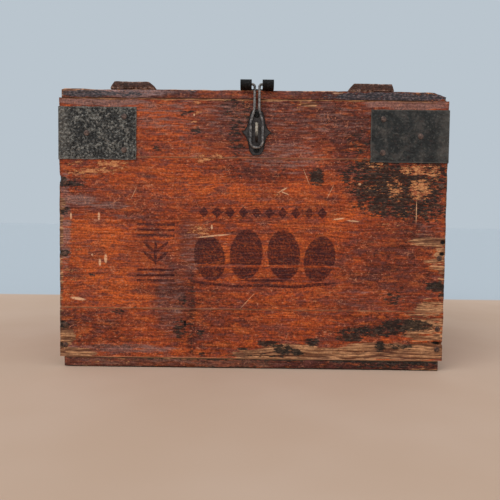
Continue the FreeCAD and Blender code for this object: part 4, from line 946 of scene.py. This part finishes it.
front = only(bmesh.types.BMFace, grown)
bmesh.ops.recalc_face_normals(bm, faces=bm.faces)
outer = [v for face in front for v in face.verts]
bmesh.ops.inset_region(bm, faces=front, thickness=plate["rim"], depth=0)
for v in outer:
    v.co.y += plate["fall"]
bmesh.ops.bevel(bm, geom=[e for e in bm.edges if all(v in outer for v in e.verts)], offset=plate["round"],
                affect="EDGES", segments=2, profile=0.5, material=-1)
stapleBack = settle(bm, "staple_plate_filed", blackIron, "crate", ("staple_plate",), smooth=50)
deep = places(stapleBack)[:, 1] / 1000 - lo.y
# the filed rim: bare iron and a painted highlight along the plate's edge
keepOn(stapleBack, "edge", np.where((deep > plate["fall"] * 0.5) & (deep < plate["filed"]), 1, 0))

for name in ("hasp_leaf", "hinge_lid_leaf_left", "hinge_lid_leaf_right", "hinge_wall_leaf_left",
             "hinge_wall_leaf_right"):
    dress(name, blackIron)
for name in ("hinge_pin_left", "hinge_pin_right"):
    dress(name, wireIron)
dress("hasp_loop", wireIron)
dress("staple", stapleIron)


def strawboard(name, look):
    # grey-brown pulp board: short fibres and soft stains
    mat, mm = startMaterial(name)
    fibre = fuzz(stretch(mm, (0.5, 0.5, 2.5)), 1, 4, 0.7)
    cross = fuzz(stretch(mm, (2.2, 2.2, 0.4), shift=(5, 1, 3)), 1, 3, 0.7)
    stain = fuzz(mm, 0.02, 4, 0.6)
    color = ramp(fibre, [(0.3, look["dark"]), (0.55, look["mid"]), (0.75, look["light"])])
    color = layered(between(cross, 0.6, 0.72, 0, 0.5), color, look["fleck"])
    color = layered(between(stain, 0.5, 0.7, 0, 0.35), color, look["stain"])
    height = calc("ADD", fibre, cross)
    return finishMaterial(mat, color, 0.9, height, depth=0.12, spec=0.25)


pulp = {"dark": rgb(112, 98, 80), "mid": rgb(146, 130, 108), "light": rgb(172, 156, 132),
        "fleck": rgb(196, 182, 156), "stain": rgb(104, 84, 62)}
strips = strawboard("strip_board", pulp)
flats = strawboard("flat_board", {**pulp, "mid": rgb(136, 122, 104), "stain": rgb(92, 76, 60)})
for layer in "1234":
    for kind, material in (("strips_long_", strips), ("strips_cross_", strips), ("flat_", flats)):
        dress("egg_" + kind + layer, material)
print("kept nodes dressed")

# floor, light and camera
studio = {"floorSize": 30, "beyond": (405, 425), "pale": (rgb(198, 170, 148), rgb(204, 178, 158)),
          "far": rgb(186, 197, 206), "daylight": (0.93, 0.97, 1, 1), "daylightStrength": 0.62,
          "lamps": (("key", 1.25, 50, (0.55, 0.75, -1.0)), ("fill", 0.35, 70, (-0.8, 0.5, -0.5)))}
ground = bmesh.new()
bmesh.ops.create_grid(ground, x_segments=8, y_segments=8, size=studio["floorSize"])
groundMesh = bpy.data.meshes.new("floor")
ground.to_mesh(groundMesh)
ground.free()
floor = bpy.data.objects.new("floor", groundMesh)
bpy.context.scene.collection.objects.link(floor)
floorMat, mm = startMaterial("pale_floor")
beyond = between(put("SeparateXYZ", {0: mm}).outputs[1], *studio["beyond"])
tint = layered(between(fuzz(mm, 0.004, 3), 0.3, 0.7), *studio["pale"])
tint = layered(beyond, tint, studio["far"])
finishMaterial(floorMat, tint, 0.85, fuzz(mm, 0.5, 3), depth=0.02, spec=0.2)
groundMesh.materials.append(floorMat)

world = bpy.data.worlds.new("studio")
bpy.context.scene.world = world
world.use_nodes = True
tree = world.node_tree
tree.nodes.clear()
rays = put("LightPath").outputs
seen = put("Background", {"Color": studio["far"], "Strength": 1.0}).outputs[0]
light = put("Background", {"Color": studio["daylight"], "Strength": studio["daylightStrength"]}).outputs[0]
both = put("MixShader", {0: rays["Is Camera Ray"], 1: light, 2: seen}).outputs[0]
tree.links.new(both, put("OutputWorld").inputs["Surface"])
for name, energy, spread, aim in studio["lamps"]:
    lamp = bpy.data.lights.new(name, "SUN")
    lamp.energy = energy
    lamp.angle = math.radians(spread)
    lampObject = bpy.data.objects.new(name, lamp)
    lampObject.rotation_euler = Vector(aim).to_track_quat("-Z", "Y").to_euler()
    bpy.context.scene.collection.objects.link(lampObject)

# degrees: turned a little to the left, looking down, and not quite level
view = {"sensor": 36, "lens": 39.96, "at": (0.0011, -0.7276, 0.1525), "turned": 0.32, "down": 2.76,
        "rolled": 0.68}
lens = bpy.data.cameras.new("camera")
lens.sensor_width = view["sensor"]
lens.lens = view["lens"]
camera = bpy.data.objects.new("camera", lens)
turn = (Matrix.Rotation(math.radians(view["turned"]), 4, "Z")
        @ Matrix.Rotation(math.radians(90 - view["down"]), 4, "X"))
camera.matrix_world = (Matrix.Translation(view["at"]) @ turn
                       @ Matrix.Rotation(math.radians(view["rolled"]), 4, "Z"))
bpy.context.scene.collection.objects.link(camera)
bpy.context.scene.camera = camera
bpy.context.scene.view_settings.view_transform = "Standard"

print("scene ready")
